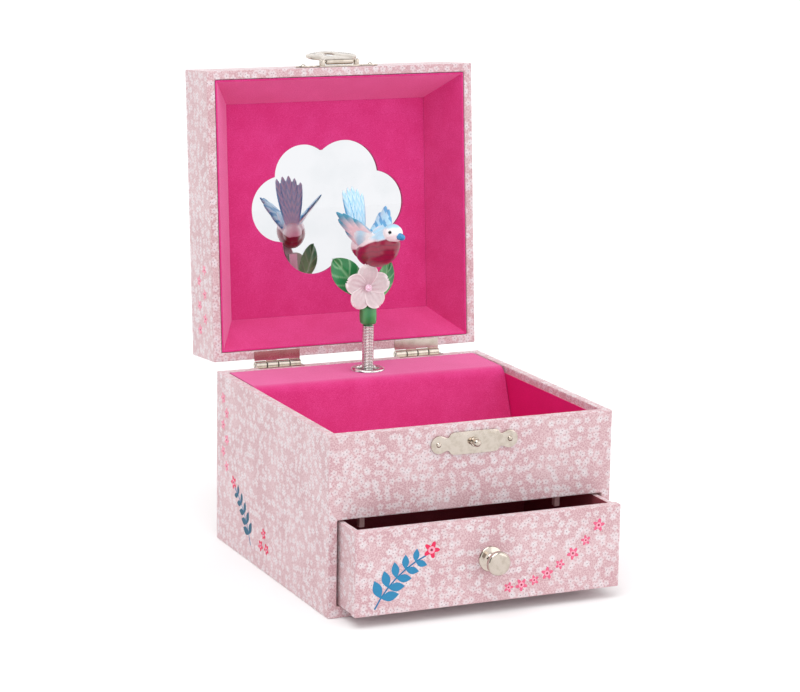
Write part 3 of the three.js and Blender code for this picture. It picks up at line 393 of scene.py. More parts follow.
# ---- Places from the frame, in millimetres ----
def extent(node, turn=Matrix.Identity(4)):
    """A node's lowest and highest corner, after a turn."""
    points = [turn @ (v.co / METRES) for v in frame["nodes"][node].data.vertices]
    return Vector(map(min, zip(*points))), Vector(map(max, zip(*points)))


def joint(name):
    found = next(j for j in frame["joints"] if j["name"] == name)
    return Vector(found["pos_m"]) / METRES, Vector(found["axis"]), found


def turn_about(point, axis, degrees):
    there = Matrix.Translation(point)
    return there @ Matrix.Rotation(math.radians(degrees), 4, axis) @ there.inverted()


hinge_at, hinge_axis, hinge_joint = joint("lid_hinge")
lid_shut = turn_about(hinge_at, hinge_axis, hinge_joint["range_deg"][1])
lid_open = lid_shut.inverted()


# ---- Meshes ----
def linked(name, mesh):
    piece = bpy.data.objects.new(name, mesh)
    bpy.context.scene.collection.objects.link(piece)
    return piece


def settle(piece):
    """Turns a piece and its modifiers into one plain mesh."""
    graph = bpy.context.evaluated_depsgraph_get()
    mesh = bpy.data.meshes.new_from_object(piece.evaluated_get(graph))
    piece.modifiers.clear()
    old = piece.data
    piece.data = mesh
    bpy.data.meshes.remove(old)
    mesh.name = piece.name
    return mesh


def modified(piece, kind, **settings):
    modifier = piece.modifiers.new(kind.lower(), kind)
    for key, value in settings.items():
        setattr(modifier, key, value)
    return modifier


def start(name, shape, finishes):
    """A new piece from a bmesh."""
    mesh = bpy.data.meshes.new(name)
    shape.to_mesh(mesh)
    shape.free()
    for finish in finishes:
        mesh.materials.append(materials[finish])
    return linked(name, mesh)


def rounded(piece, radius, segments=2, limit=40):
    modified(
        piece, "BEVEL", width=radius, segments=segments, limit_method="ANGLE",
        angle_limit=math.radians(limit), use_clamp_overlap=True,
    )
    settle(piece)
    return piece


def bored(piece, radius, start_at, end_at, sides=48):
    """Cuts a round hole between two points."""
    shape = bmesh.new()
    run = end_at - start_at
    place = Matrix.Translation((start_at + end_at) / 2) @ run.to_track_quat("Z", "Y").to_matrix().to_4x4()
    bmesh.ops.create_cone(
        shape, cap_ends=True, segments=sides, radius1=radius, radius2=radius, depth=run.length, matrix=place
    )
    return combined(piece, start(piece.name + "_cutter", shape, ()), "DIFFERENCE")


def combined(piece, other, operation="UNION"):
    modified(piece, "BOOLEAN", operation=operation, object=other, solver="EXACT")
    settle(piece)
    bpy.data.objects.remove(other)
    return piece


def paper_map(mesh):
    """Lays the paper flat on each face, in millimetres."""
    layer = mesh.uv_layers.new(name="paper")
    for face in mesh.polygons:
        normal = [abs(n) for n in face.normal]
        axis = normal.index(max(normal))
        u, v = ((1, 2), (0, 2), (0, 1))[axis]
        for loop in face.loop_indices:
            point = mesh.vertices[mesh.loops[loop].vertex_index].co
            layer.data[loop].uv = (point[u] + 11 * axis, point[v] + 7 * axis)


def finished(piece, body, stands_for=(), place=None, smooth=None):
    """Brings a piece to its place in metres, and gives it its body and the nodes it stands for."""
    mesh = piece.data
    if place is not None:
        mesh.transform(place)
    mesh.transform(Matrix.Scale(METRES, 4))
    if smooth is not None:
        mesh.shade_smooth()
        mesh.set_sharp_from_angle(angle=math.radians(smooth))
    mesh.update()
    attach(piece, body)
    if stands_for:
        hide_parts(*stands_for)
    return piece


def grid_shell(xs, ys, zs, solid, finish_of=lambda cell: 0):
    """A closed shell: the faces between the full and the empty cells of a grid."""
    shape = bmesh.new()
    lines = (xs, ys, zs)
    corners = {}

    def corner(index):
        if index not in corners:
            corners[index] = shape.verts.new([lines[a][index[a]] for a in range(3)])
        return corners[index]

    def full(cell):
        return all(0 <= cell[a] < len(lines[a]) - 1 for a in range(3)) and solid(*cell)

    cells = [(i, j, k) for i in range(len(xs) - 1) for j in range(len(ys) - 1) for k in range(len(zs) - 1)]
    for cell in filter(full, cells):
        for axis in range(3):
            for side in (0, 1):
                beside = list(cell)
                beside[axis] += 2 * side - 1
                if full(tuple(beside)):
                    continue
                b, c = (axis + 1) % 3, (axis + 2) % 3
                ring = []
                for db, dc in ((0, 0), (1, 0), (1, 1), (0, 1)):
                    index = list(cell)
                    index[axis] += side
                    index[b] += db
                    index[c] += dc
                    ring.append(corner(tuple(index)))
                face = shape.faces.new(ring if side else ring[::-1])
                face.material_index = finish_of(tuple(beside))
    return shape


def plate(outline, thick, holes=()):
    """A flat plate from its outline and holes, thickened upwards from nothing."""
    shape = bmesh.new()
    edges = []
    for loop in (outline, *holes):
        ring = [shape.verts.new((u, v, 0)) for u, v in loop]
        edges += [shape.edges.new((a, b)) for a, b in zip(ring, ring[1:] + ring[:1])]
    bmesh.ops.triangle_fill(shape, use_beauty=True, edges=edges)
    raised = bmesh.ops.extrude_face_region(shape, geom=shape.faces[:])
    lifted = [v for v in raised["geom"] if isinstance(v, bmesh.types.BMVert)]
    bmesh.ops.translate(shape, verts=lifted, vec=(0, 0, thick))
    bmesh.ops.recalc_face_normals(shape, faces=shape.faces)
    return shape


def lathe(profile, segments=64):
    """A turned body about Z from its (radius, height) profile, closed at the axis or back on itself."""
    shape = bmesh.new()
    rings = []
    for radius, height in profile:
        if radius < 1e-6:
            rings.append([shape.verts.new((0, 0, height))])
        else:
            steps = [2 * math.pi * i / segments for i in range(segments)]
            places = [(radius * math.cos(a), radius * math.sin(a), height) for a in steps]
            rings.append([shape.verts.new(place) for place in places])
    closed = len(rings[0]) > 1
    pairs = list(zip(rings, rings[1:] + rings[:1])) if closed else list(zip(rings, rings[1:]))
    for low, high in pairs:
        for i in range(segments):
            j = (i + 1) % segments
            ring = [low[i % len(low)], low[j % len(low)], high[j % len(high)], high[i % len(high)]]
            shape.faces.new(list(dict.fromkeys(ring)))
    bmesh.ops.recalc_face_normals(shape, faces=shape.faces)
    return shape


def block(low, high):
    shape = bmesh.new()
    size = [b - a for a, b in zip(low, high)]
    middle = [(a + b) / 2 for a, b in zip(low, high)]
    bmesh.ops.create_cube(shape, size=1, matrix=Matrix.Translation(middle) @ Matrix.Diagonal((*size, 1)))
    return shape


def merged(*shapes):
    """Several bmeshes in one."""
    whole = bmesh.new()
    for shape in shapes:
        mesh = bpy.data.meshes.new("part")
        shape.to_mesh(mesh)
        shape.free()
        whole.from_mesh(mesh)
        bpy.data.meshes.remove(mesh)
    return whole


def cut_corners(points, times=2):
    """Rounds an outline by cutting its corners again and again."""
    for _ in range(times):
        ahead = points[1:] + points[:1]
        points = [
            tuple(a + (b - a) * share for a, b in zip(p, q))
            for p, q in zip(points, ahead) for share in (0.25, 0.75)
        ]
    return points


# Stands a plate drawn in (x, z) up, so its thickness goes towards the front.
FACING = Matrix.Rotation(math.radians(90), 4, "X")
# Turns a lathe body so its axis runs towards the front.
FORWARD = Matrix.Rotation(math.radians(90), 4, "X")


# ---- Repeats and paths made with Geometry Nodes ----
class Growth:
    """A geometry tree with named inputs, built in the script."""

    def __init__(self, name, inputs):
        self.tree = bpy.data.node_groups.new(name, "GeometryNodeTree")
        self.ids = {}
        for key, kind in inputs.items():
            socket = self.tree.interface.new_socket(name=key, in_out="INPUT", socket_type="NodeSocket" + kind)
            self.ids[key] = socket.identifier
        self.tree.interface.new_socket(name="Geometry", in_out="OUTPUT", socket_type="NodeSocketGeometry")
        self.given = self.tree.nodes.new("NodeGroupInput")
        self.result = self.tree.nodes.new("NodeGroupOutput")

    def add(self, kind, settings=(), inputs=()):
        node = self.tree.nodes.new(kind)
        for key, value in dict(settings).items():
            setattr(node, key, value)
        for key, value in dict(inputs).items():
            if isinstance(value, bpy.types.NodeSocket):
                self.tree.links.new(value, node.inputs[key])
            else:
                node.inputs[key].default_value = value
        return node.outputs[0] if len(node.outputs) else node

    def want(self, key):
        return self.given.outputs[key]

    def end(self, geometry):
        whole = self.add("GeometryNodeRealizeInstances", (), {0: geometry})
        dressed = self.add("GeometryNodeSetMaterial", (), {
            "Geometry": whole, "Material": self.want("Material"),
        })
        self.tree.links.new(dressed, self.result.inputs[0])

    def grow(self, name, **values):
        """A plain mesh from the tree with these inputs."""
        piece = linked(name, bpy.data.meshes.new(name))
        modifier = piece.modifiers.new("growth", "NODES")
        modifier.node_group = self.tree
        for key, value in values.items():
            modifier[self.ids[key]] = value
        settle(piece)
        return piece


def spring_tree():
    inputs = {"Turns": "Float", "Radius": "Float", "Wire": "Float", "Length": "Float", "Material": "Material"}
    tree = Growth("coil_spring", inputs)
    spiral = tree.add("GeometryNodeCurveSpiral", (), {
        "Resolution": 20, "Rotations": tree.want("Turns"), "Start Radius": tree.want("Radius"),
        "End Radius": tree.want("Radius"), "Height": tree.want("Length"),
    })
    wire = tree.add("GeometryNodeCurvePrimitiveCircle", (), {"Resolution": 10, "Radius": tree.want("Wire")})
    coil = tree.add("GeometryNodeCurveToMesh", (), {
        "Curve": spiral, "Profile Curve": wire, "Fill Caps": True,
    })
    tree.end(tree.add("GeometryNodeSetShadeSmooth", (), {0: coil}))
    return tree


def row_tree():
    """Copies of one shape in a straight row."""
    inputs = {"Shape": "Object", "Count": "Int", "Start": "Vector", "Step": "Vector", "Material": "Material"}
    tree = Growth("row_of_parts", inputs)
    line = tree.add("GeometryNodeMeshLine", (), {
        "Count": tree.want("Count"), "Start Location": tree.want("Start"), "Offset": tree.want("Step"),
    })
    info = tree.tree.nodes.new("GeometryNodeObjectInfo")
    tree.tree.links.new(tree.want("Shape"), info.inputs["Object"])
    copies = tree.add("GeometryNodeInstanceOnPoints", (), {
        "Points": line, "Instance": info.outputs["Geometry"],
    })
    tree.end(copies)
    return tree


def ring_tree():
    """Copies of one shape turned about Z."""
    tree = Growth("ring_of_parts", {
        "Shape": "Object", "Count": "Int", "Turn": "Float", "Material": "Material",
    })
    line = tree.add("GeometryNodeMeshLine", (), {"Count": tree.want("Count"), "Offset": (0.0, 0.0, 0.0)})
    index = tree.add("GeometryNodeInputIndex")
    angle = tree.add("ShaderNodeMath", {"operation": "MULTIPLY"}, {0: index, 1: tree.want("Turn")})
    euler = tree.add("ShaderNodeCombineXYZ", (), {"Z": angle})
    turn = tree.add("FunctionNodeEulerToRotation", (), {0: euler})
    info = tree.tree.nodes.new("GeometryNodeObjectInfo")
    tree.tree.links.new(tree.want("Shape"), info.inputs["Object"])
    inputs = {"Points": line, "Instance": info.outputs["Geometry"], "Rotation": turn}
    tree.end(tree.add("GeometryNodeInstanceOnPoints", (), inputs))
    return tree


def grown_row(name, shape, finish, count, first, step):
    pattern = start(name + "_pattern", shape, (finish,))
    piece = row_tree().grow(
        name, Shape=pattern, Count=count, Start=Vector(first), Step=Vector(step), Material=materials[finish]
    )
    bpy.data.objects.remove(pattern)
    return piece


# ---- Case ----
def make_case(sizes):
    low, high = extent("case_side_left")
    board = high.x - low.x
    xs = [low.x, high.x, -high.x, -low.x]
    ys = [low.y, low.y + board, high.y - board, high.y]
    zs = [low.z, extent("case_base")[1].z, extent("case_front")[0].z, high.z]

    def solid(i, j, k):
        return i != 1 or j == 2 or k == 0 or (j == 0 and k == 2)

    def finish_of(cell):
        return 1 if cell[0] == 1 and cell[2] == 1 and cell[1] in (0, 1) else 0

    shape = grid_shell(xs, ys, zs, solid, finish_of)
    piece = rounded(start("case_boards", shape, ("paper", "plain")), sizes.board_edge)
    arbor = extent("winding_key")
    height = (arbor[0].z + arbor[1].z) / 2
    piece = bored(piece, 4, Vector((0, high.y - board - 2, height)), Vector((0, high.y + 2, height)))
    paper_map(piece.data)
    nodes = ("case_side_left", "case_side_right", "case_front", "case_back", "case_base")
    finished(piece, "case", nodes)
    eyelet = lathe([
        (3.9, -board), (3.4, -board), (3.4, 0.3), (3.7, 0.7), (5.2, 0.7), (5.8, 0.15), (5.6, 0), (3.9, 0),
    ])
    back = Matrix.Translation((0, high.y, height)) @ Matrix.Rotation(math.radians(-90), 4, "X")
    finished(start("key_eyelet", eyelet, ("nickel",)), "case", (), back, 35)


def make_tray(sizes):
    low, high = extent("tray_pad")
    pad = rounded(start("tray_flock_pad", block(low, high), ("flock",)), sizes.flock_edge)
    finished(pad, "case", ("tray_pad",))

    low, high = extent("mechanism_cover")
    lean = math.radians(22)
    thick = 2.0
    fillet = sizes.cover_fillet
    front = low.y + (high.z - low.z + 0.3) * math.tan(lean)
    top = high.z
    start_at, middle, end_at = (
        Vector((front + fillet, top)),
        Vector((front, top)),
        Vector((front - fillet * math.sin(lean), top - fillet * math.cos(lean))),
    )
    across = thick / math.cos(lean)
    profile = [(low.y, low.z), (low.y + across, low.z)]
    profile += [(front + across - thick * math.tan(lean), top - thick), (high.y, top - thick), (high.y, top)]
    for i in range(13):
        t = i / 12
        point = start_at * (1 - t) ** 2 + middle * 2 * t * (1 - t) + end_at * t * t
        profile.append((point.x, point.y))
    shape = plate(profile, high.x - low.x)
    to_place = Matrix(((0, 0, 1, low.x), (1, 0, 0, 0), (0, 1, 0, 0), (0, 0, 0, 1)))
    shape.transform(to_place)
    bmesh.ops.recalc_face_normals(shape, faces=shape.faces)
    ledge = start("flocked_ledge", shape, ("flock",))
    spindle = joint("cylinder_spin")[0]
    ferrule_low, ferrule_high = extent("spindle_ferrule")
    ledge = bored(ledge, 7.3, Vector((0, spindle.y, top - 8)), Vector((0, spindle.y, top + 8)))
    finished(ledge, "case", ("mechanism_cover",), None, 24)

    seat = ferrule_high.z - 1.1
    outer = (ferrule_high.x - ferrule_low.x) / 2
    profile = [
        (6, top - thick), (7, top - thick), (7, seat), (outer, seat), (outer, seat + 0.35),
        (outer - 0.25, seat + 0.8), (outer - 0.8, seat + 1.1),
        (6.6, seat + 1.1), (6.15, seat + 0.95), (6, seat + 0.6),
    ]
    ferrule = start("spindle_washer", lathe(profile), ("steel",))
    finished(ferrule, "case", ("spindle_ferrule",), Matrix.Translation((0, spindle.y, 0)), 35)


# ---- Lid ----
CLOUD = (
    (-13.5, -17.5, 16.5), (10, -16, 19.5), (26.5, -1.5, 17),
    (19, 16, 18), (-9, 17.5, 17.5), (-26, -0.5, 17.5),
)


def cloud_outline(samples=216):
    """The outline round six overlapping discs, as seen from near their middle."""
    points = []
    for i in range(samples):
        angle = 2 * math.pi * i / samples
        dx, dy = math.cos(angle), math.sin(angle)
        reach = 0
        for x, y, radius in CLOUD:
            along, off = x * dx + (y + 0.2) * dy, x * dy - (y + 0.2) * dx
            if abs(off) < radius:
                reach = max(reach, along + math.sqrt(radius * radius - off * off))
        points.append((reach * dx, reach * dy - 0.2))
    return points


def make_lid(sizes):
    low, high = extent("lid_top", lid_shut)
    rim = extent("lid_wall_front", lid_shut)[0].z
    board = high.z - low.z
    xs = [low.x, low.x + board, high.x - board, high.x]
    ys = [low.y, low.y + board, high.y - board, high.y]
    shape = grid_shell(xs, ys, [rim, low.z, high.z], lambda i, j, k: k == 1 or i != 1 or j != 1)
    boards = rounded(start("lid_boards", shape, ("paper",)), sizes.board_edge)
    paper_map(boards.data)
    walls = ("lid_top", "lid_wall_front", "lid_wall_back", "lid_wall_left", "lid_wall_right")
    finished(boards, "lid", walls, lid_open)

    low, high = extent("lid_lining_sides", lid_shut)
    panel_low, panel_high = extent("lid_lining_panel", lid_shut)
    card = panel_high.z - panel_low.z
    shape = bmesh.new()
    loops = []
    corners = ((high.x, low.z), (panel_high.x, high.z), (panel_high.x - card, high.z), (high.x - card, low.z))
    for half, z in corners:
        corners = ((-half, -half), (half, -half), (half, half), (-half, half))
        loops.append([shape.verts.new((x, y, z)) for x, y in corners])
    for one, other in zip(loops, loops[1:] + loops[:1]):
        for i in range(4):
            j = (i + 1) % 4
            shape.faces.new((one[i], one[j], other[j], other[i]))
    bmesh.ops.recalc_face_normals(shape, faces=shape.faces)
    sides = rounded(start("lid_flock_sides", shape, ("flock",)), 0.3, 2, 20)
    finished(sides, "lid", ("lid_lining_sides",), lid_open)

    half = panel_high.x
    shape = plate([(-half, -half), (half, -half), (half, half), (-half, half)], card, (cloud_outline(),))
    panel = rounded(start("lid_flock_panel", shape, ("flock",)), 0.3, 2, 60)
    place = lid_open @ Matrix.Translation((0, 0, panel_low.z))
    finished(panel, "lid", ("lid_lining_panel",), place)


# ---- Drawer ----
def make_drawer(sizes):
    low, high = extent("drawer_front")
    front = rounded(start("drawer_face", block(low, high), ("paper",)), sizes.board_edge)
    paper_map(front.data)
    finished(front, "drawer", ("drawer_front",))
    low, high = extent("drawer_side_left")
    floor = extent("drawer_bottom")[1].z
    back = extent("drawer_back")[0].y
    xs = [low.x, high.x, -high.x, -low.x]
    ys = [low.y, back, high.y]
    # The drawer's inside faces take the dark lining, whose maroon is partly painted shade.
    shape = grid_shell(
        xs, ys, [low.z, floor, high.z], lambda i, j, k: i != 1 or j == 1 or k == 0,
        lambda cell: 1 if cell[0] == 1 and cell[1] == 0 and cell[2] == 1 else 0,
    )
    tray = rounded(start("drawer_boards", shape, ("paper", "dark")), 0.35)
    paper_map(tray.data)
    nodes = ("drawer_side_left", "drawer_side_right", "drawer_back", "drawer_bottom")
    finished(tray, "drawer", nodes)

    low, high = extent("drawer_knob")
    r = 6.0
    root = extent("drawer_front")[0].y - 0.05
    reach = root - low.y
    profile = [(0, reach)]
    profile += [(r * 0.80 * i / 4, reach - 0.22 * (i / 4) ** 2) for i in range(1, 5)]
    profile += [
        (r * 0.90, reach - 0.5), (r * 0.97, reach - 1.1), (r, reach - 1.9), (r * 0.985, reach - 2.7),
        (r * 0.93, reach - 3.3), (r * 0.82, reach - 3.7), (r * 0.66, reach - 4.1), (r * 0.5, reach - 4.7),
        (r * 0.43, reach - 5.6), (r * 0.41, reach - 6.8), (r * 0.44, 2.6), (r * 0.54, 1.9), (r * 0.66, 1.5),
        (r * 0.9, 1.15), (r * 1.0, 0.95), (r * 1.04, 0.6), (r * 1.04, 0.0),
        (1.3, 0.0), (1.3, -5.0), (0, -5.0),
    ]
    place = Matrix.Translation((0, root, (low.z + high.z) / 2)) @ FORWARD
    finished(start("knob", lathe(profile, 72), ("nickel",)), "drawer", ("drawer_knob",), place, 32)


# ---- Catch and hinges ----
def catch_outline(width, middle, tall, ear):
    """A stamped plate: a taller middle with rounded corners, and an ear with a nail at each end."""
    end = width / 2 - ear
    side = [(middle - 1.4, -tall), (middle + 0.6, -tall * 0.9), (middle + 1.9, -ear * 0.62)]
    for i in range(15):
        angle = math.radians(-112 + 16 * i)
        side.append((end + ear * math.cos(angle), ear * math.sin(angle)))
    side += [(middle + 1.9, ear * 0.62), (middle + 0.6, tall * 0.9), (middle - 1.4, tall)]
    return cut_corners(side + [(-x, -y) for x, y in side], 2)


def circle(x, y, radius, steps=32):
    turn = [2 * math.pi * i / steps for i in range(steps)]
    return [(x + radius * math.cos(a), y + radius * math.sin(a)) for a in turn]


def nail_shape():
    head = [(0, 0.95), (0.5, 0.85), (0.95, 0.55), (1.25, 0.15), (1.3, 0)]
    profile = head + [(0.55, 0), (0.55, -0.7), (0, -0.7)]
    return lathe(profile, 24)


def make_catch(sizes):
    low, high = extent("strike_plate")
    stud_low = extent("strike_stud")[0]
    nails = [extent("strike_nail_left"), extent("strike_nail_right")]
    spots = [((a.x + b.x) / 2) for a, b in nails]
    height = (low.z + high.z) / 2
    thick = high.y - low.y
    outline = catch_outline(high.x - low.x, 12, (high.z - low.z) / 2, 4.4)
    holes = [circle(x, 0, 0.8) for x in (*spots, 0)]
    metal = rounded(start("catch_plate", plate(outline, thick, holes), ("nickel",)), sizes.metal_edge, 2, 50)
    place = Matrix.Translation((0, high.y, height)) @ FACING
    finished(metal, "case", ("strike_plate",), place, 30)
    row = grown_row("catch_nails", nail_shape(), "nickel", 2, (spots[0], 0, 0), (spots[1] - spots[0], 0, 0))
    finished(row, "case", ("strike_nail_left", "strike_nail_right"),
             Matrix.Translation((0, low.y, height)) @ FACING, 35)

    face = low.y - 0.05
    reach = face - stud_low.y
    ball = 2.0
    profile = [(0, reach)]
    for i in range(1, 13):
        angle = math.radians(150 * i / 12)
        profile.append((ball * math.sin(angle), reach - ball + ball * math.cos(angle)))
    profile += [(0.95, 0.75), (1.2, 0.5), (2.1, 0.35), (2.3, 0.1), (2.2, 0), (0.8, 0), (0.8, -0.7), (0, -0.7)]
    place = Matrix.Translation((0, face, height)) @ FORWARD
    stud = start("catch_stud", lathe(profile, 48), ("nickel",))
    finished(stud, "case", ("strike_stud",), place, 35)

    # On the closed lid: the plate, its pin ears, and the flap.
    pin = lid_shut @ joint("hasp_hinge")[0]
    low, high = extent("hasp_plate", lid_shut)
    nail_boxes = [extent("hasp_nail_" + side, lid_shut) for side in ("left", "right")]
    height = (nail_boxes[0][0].z + nail_boxes[0][1].z) / 2
    spots = [((a.x + b.x) / 2) for a, b in nail_boxes]
    outline = catch_outline(high.x - low.x, 11, 5.4, 4.4)
    metal = start("hasp_stamping", plate(outline, thick, [circle(x, 0, 0.8) for x in spots]), ("nickel",))
    rounded(metal, sizes.metal_edge, 2, 50)
    metal.data.transform(Matrix.Translation((0, high.y, height)) @ FACING)
    for side in (-1, 1):
        x = side * 9.6
        ear = block((x - 1.3, pin.y - 1.3, pin.z - 1.5), (x + 1.3, high.y - thick / 2, pin.z + 1.5))
        combined(metal, rounded(start("ear", ear, ("nickel",)), 0.7, 3))
    finished(metal, "lid", ("hasp_plate",), lid_open, 30)
    row = grown_row("hasp_nails", nail_shape(), "nickel", 2, (spots[0], 0, 0), (spots[1] - spots[0], 0, 0))
    stand = Matrix.Translation((0, high.y - thick, height)) @ FACING
    finished(row, "lid", ("hasp_nail_left", "hasp_nail_right"), lid_open @ stand, 35)

    half, foot, tip = 14.0, 2.1, 19.5
    middle = (foot + tip) / 2
    oval = [(half * math.cos(a), middle + (tip - middle) * math.sin(a) * (1 + 0.07 * math.cos(4 * a)))
            for a in (2 * math.pi * i / 96 for i in range(96))]
    flap = start("hasp_leaf", plate(oval, 0.8, (circle(0, 13.4, 2.7, 48),)), ("nickel",))
    rounded(flap, sizes.metal_edge, 2, 50)
    flap.data.transform(Matrix.Translation((0, 0, -0.4)))
    neck = rounded(start("neck", block((-7.6, 0, -0.4), (7.6, 7.0, 0.4)), ("nickel",)), 0.15)
    combined(flap, neck)
    barrel = lathe([(0, -7.6), (1.2, -7.6), (1.5, -7.3), (1.5, 7.3), (1.2, 7.6), (0, 7.6)], 32)
    barrel.transform(Matrix.Rotation(math.radians(90), 4, "Y"))
    combined(flap, start("barrel", barrel, ("nickel",)))
    bored(flap, 0.9, Vector((-12, 0, 0)), Vector((12, 0, 0)), 24)
    lean = Matrix.Rotation(math.radians(13), 4, "X")
    finished(flap, "hasp", ("hasp_flap",), lid_open @ Matrix.Translation(pin) @ lean @ FACING, 30)


def knuckle_shape(half, radius):
    profile = [(1.15, -half), (radius - 0.2, -half), (radius, -half + 0.2), (radius, half - 0.2)]
    shape = lathe(profile + [(radius - 0.2, half), (1.15, half)], 32)
    shape.transform(Matrix.Rotation(math.radians(90), 4, "Y"))
    return shape


HINGE_LENGTH = 25.5
HINGE_RADIUS = 2.2  # outside of a knuckle
HINGE_KNUCKLES = 4


def make_hinges():
    pin = hinge_at
    for side in ("left", "right"):
        low, high = extent("hinge_leaf_case_" + side)
        middle = (low.x + high.x) / 2
        for body, turn, first in (("case", Matrix.Identity(4), 0), ("lid", lid_shut, 1)):
            node = f"hinge_leaf_{body}_{side}"
            low, high = extent(node, turn)
            radius = HINGE_RADIUS
            step = HINGE_LENGTH / HINGE_KNUCKLES
            half = step / 2 - 0.15
            at = middle - HINGE_LENGTH / 2 + step * (first + 0.5)
            piece = grown_row(
                f"hinge_{body}_{side}", knuckle_shape(half, radius), "nickel", 2,
                (at, pin.y, pin.z), (2 * step, 0, 0),
            )
            z = extent("case_side_left")[1].z
            z0, z1 = (z, z + 0.25) if body == "case" else (z + 0.35, z + 0.55)
            leaf = block(
                (middle - HINGE_LENGTH / 2, low.y, z0), (middle + HINGE_LENGTH / 2, pin.y - radius - 0.25, z1)
            )
            combined(piece, start("leaf", leaf, ("nickel",)))
            for i in (0, 1):
                x = at + 2 * step * i
                web = block((x - half, pin.y - radius - 0.8, z0), (x + half, pin.y - 1.3, z1))
                combined(piece, start("web", web, ("nickel",)))
            finished(piece, body, (node,), None if body == "case" else lid_open, 30)


# ---- Spring, flower, leaves and bird ----
LEAF_RISE = 19  # millimetres from the spring's top to the middle that the leaves and the bird are drawn about


def painted(name, points, faces, paint, finish):
    """A mesh with a colour on each of its points."""
    mesh = bpy.data.meshes.new(name)
    mesh.from_pydata([tuple(p) for p in points], [], faces)
    layer = mesh.attributes.new("paint", "FLOAT_COLOR", "POINT")
    layer.data.foreach_set("color", np.asarray([opaque(c) for c in paint], float).ravel())
    mesh.materials.append(materials[finish])
    return linked(name, mesh)


def blended(first, second, share):
    return tuple(a + (b - a) * share for a, b in zip(tuple(first)[:3], tuple(second)[:3]))


def clamp(value, low=0.0, high=1.0):
    return max(low, min(high, value))


def sheet_shell(rows, columns, front, back, paint):
    """A closed leaf or petal: a front and a back surface over one grid, joined round their edge."""
    points, colours, faces = [], [], []
    for surface in (front, back):
        for i in range(rows + 1):
            for j in range(columns + 1):
                s, t = i / rows, 2 * j / columns - 1
                points.append(surface(s, t))
                colours.append(paint(s, t))
    stride = columns + 1
    size = (rows + 1) * stride
    for i in range(rows):
        for j in range(columns):
            a = i * stride + j
            ring = (a, a + 1, a + 1 + stride, a + stride)
            faces.append(ring)
            faces.append(tuple(size + k for k in reversed(ring)))
    rim = [j for j in range(stride)] + [i * stride + columns for i in range(1, rows + 1)]
    rim += [rows * stride + j for j in range(columns - 1, -1, -1)]
    rim += [i * stride for i in range(rows - 1, 0, -1)]
    for a, b in zip(rim, rim[1:] + rim[:1]):
        faces.append((b, a, size + a, size + b))
    return points, faces, colours


def make_spring(sizes):
    low, high = extent("stem_spring")
    spindle = joint("cylinder_spin")[0]
    wire = sizes.spring_wire
    length_all = high.z - low.z - wire
    coil = spring_tree().grow(
        "coil_spring", Turns=float(sizes.spring_turns), Radius=(high.x - low.x) / 2 - wire / 2, Wire=wire / 2,
        Length=length_all, Material=materials["steel"],
    )
    coil.data.transform(Matrix.Translation((0, spindle.y, low.z + wire / 2)))
    coil.data.transform(Matrix.Scale(METRES, 4))
    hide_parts("stem_spring")
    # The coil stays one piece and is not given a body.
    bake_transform(coil)


def make_flower(colours):
    spindle = joint("cylinder_spin")[0]
    gem_low, gem_high = extent("flower_gem")
    middle_x, middle_z = (gem_low.x + gem_high.x) / 2, (gem_low.z + gem_high.z) / 2

    def petal_width(d):
        if d > 6.4:
            return math.sqrt(max(5.75 ** 2 - (d - 6.4) ** 2, 0.0))
        return 5.75 * (0.28 + 0.72 * (d / 6.4) ** 0.85)

    def lift(s, t):
        rim = max(s, abs(t) ** 3 * (0.4 + 0.6 * s))
        ridge = 0.1 * math.cos(t * 13) * math.sin(math.pi * min(s, 0.96)) * (1 - 0.6 * rim)
        throat = 1.3 * math.exp(-((s * 3.4) ** 2))
        return 1.1 - throat + 0.7 * s * s - 0.55 * clamp((rim - 0.86) / 0.14) ** 2 + ridge

    def front(s, t):
        d = 0.3 + 11.75 * s
        wave = 1 + 0.03 * math.cos(t * 6)
        return (petal_width(min(d, 12.1)) * t * 0.98, d * wave if s > 0.6 else d, lift(s, t) + 0.35 * t)

    def back(s, t):
        x, y, z = front(s, t)
        return (x, y, z - 0.75 - 1.1 * (1 - s) * (1 - abs(t)))

    def paint(s, t):
        vein = 0.5 + 0.5 * math.cos(t * 15)
        depth = 0.22 * vein * (1 - s) + 0.45 * math.exp(-((s * 4) ** 2))
        shade = blended(colours.petal, tint(202, 172, 180), depth)
        # The near-white rim is painted light: it stands for light showing through the petals' thin edges.
        rim = clamp((max(s, abs(t)) - 0.84) / 0.12)
        return blended(shade, tint(246, 238, 239), 0.85 * rim)

    points, faces, paints = sheet_shell(26, 34, front, back, paint)
    pattern = painted("petal_pattern", points, faces, paints, "glaze")
    shape = bmesh.new()
    shape.from_mesh(pattern.data)
    bmesh.ops.remove_doubles(shape, verts=shape.verts, dist=0.01)
    bmesh.ops.recalc_face_normals(shape, faces=shape.faces)
    shape.to_mesh(pattern.data)
    shape.free()
    petals = ring_tree().grow(
        "petals", Shape=pattern, Count=5, Turn=2 * math.pi / 5, Material=materials["glaze"]
    )
    bpy.data.objects.remove(pattern)
    place = Matrix.Translation((middle_x, spindle.y - 3.4, middle_z)) @ FACING
    finished(petals, "figure", ("flower_head",), place, 60)

    ring = circle(1.45, 0.35, 0.42, 12)
    crystal = [(0, 1.05), (0.6, 0.98), (1.15, 0.5), (1.2, 0.1), (0.7, -0.3), (0, -0.4)]
    shape = merged(lathe(ring, 36), lathe(crystal, 8))
    place = Matrix.Translation((middle_x, gem_low.y + 1.3, middle_z)) @ FACING
    finished(start("gem", shape, ("gem",)), "figure", ("flower_gem",), place, 40)


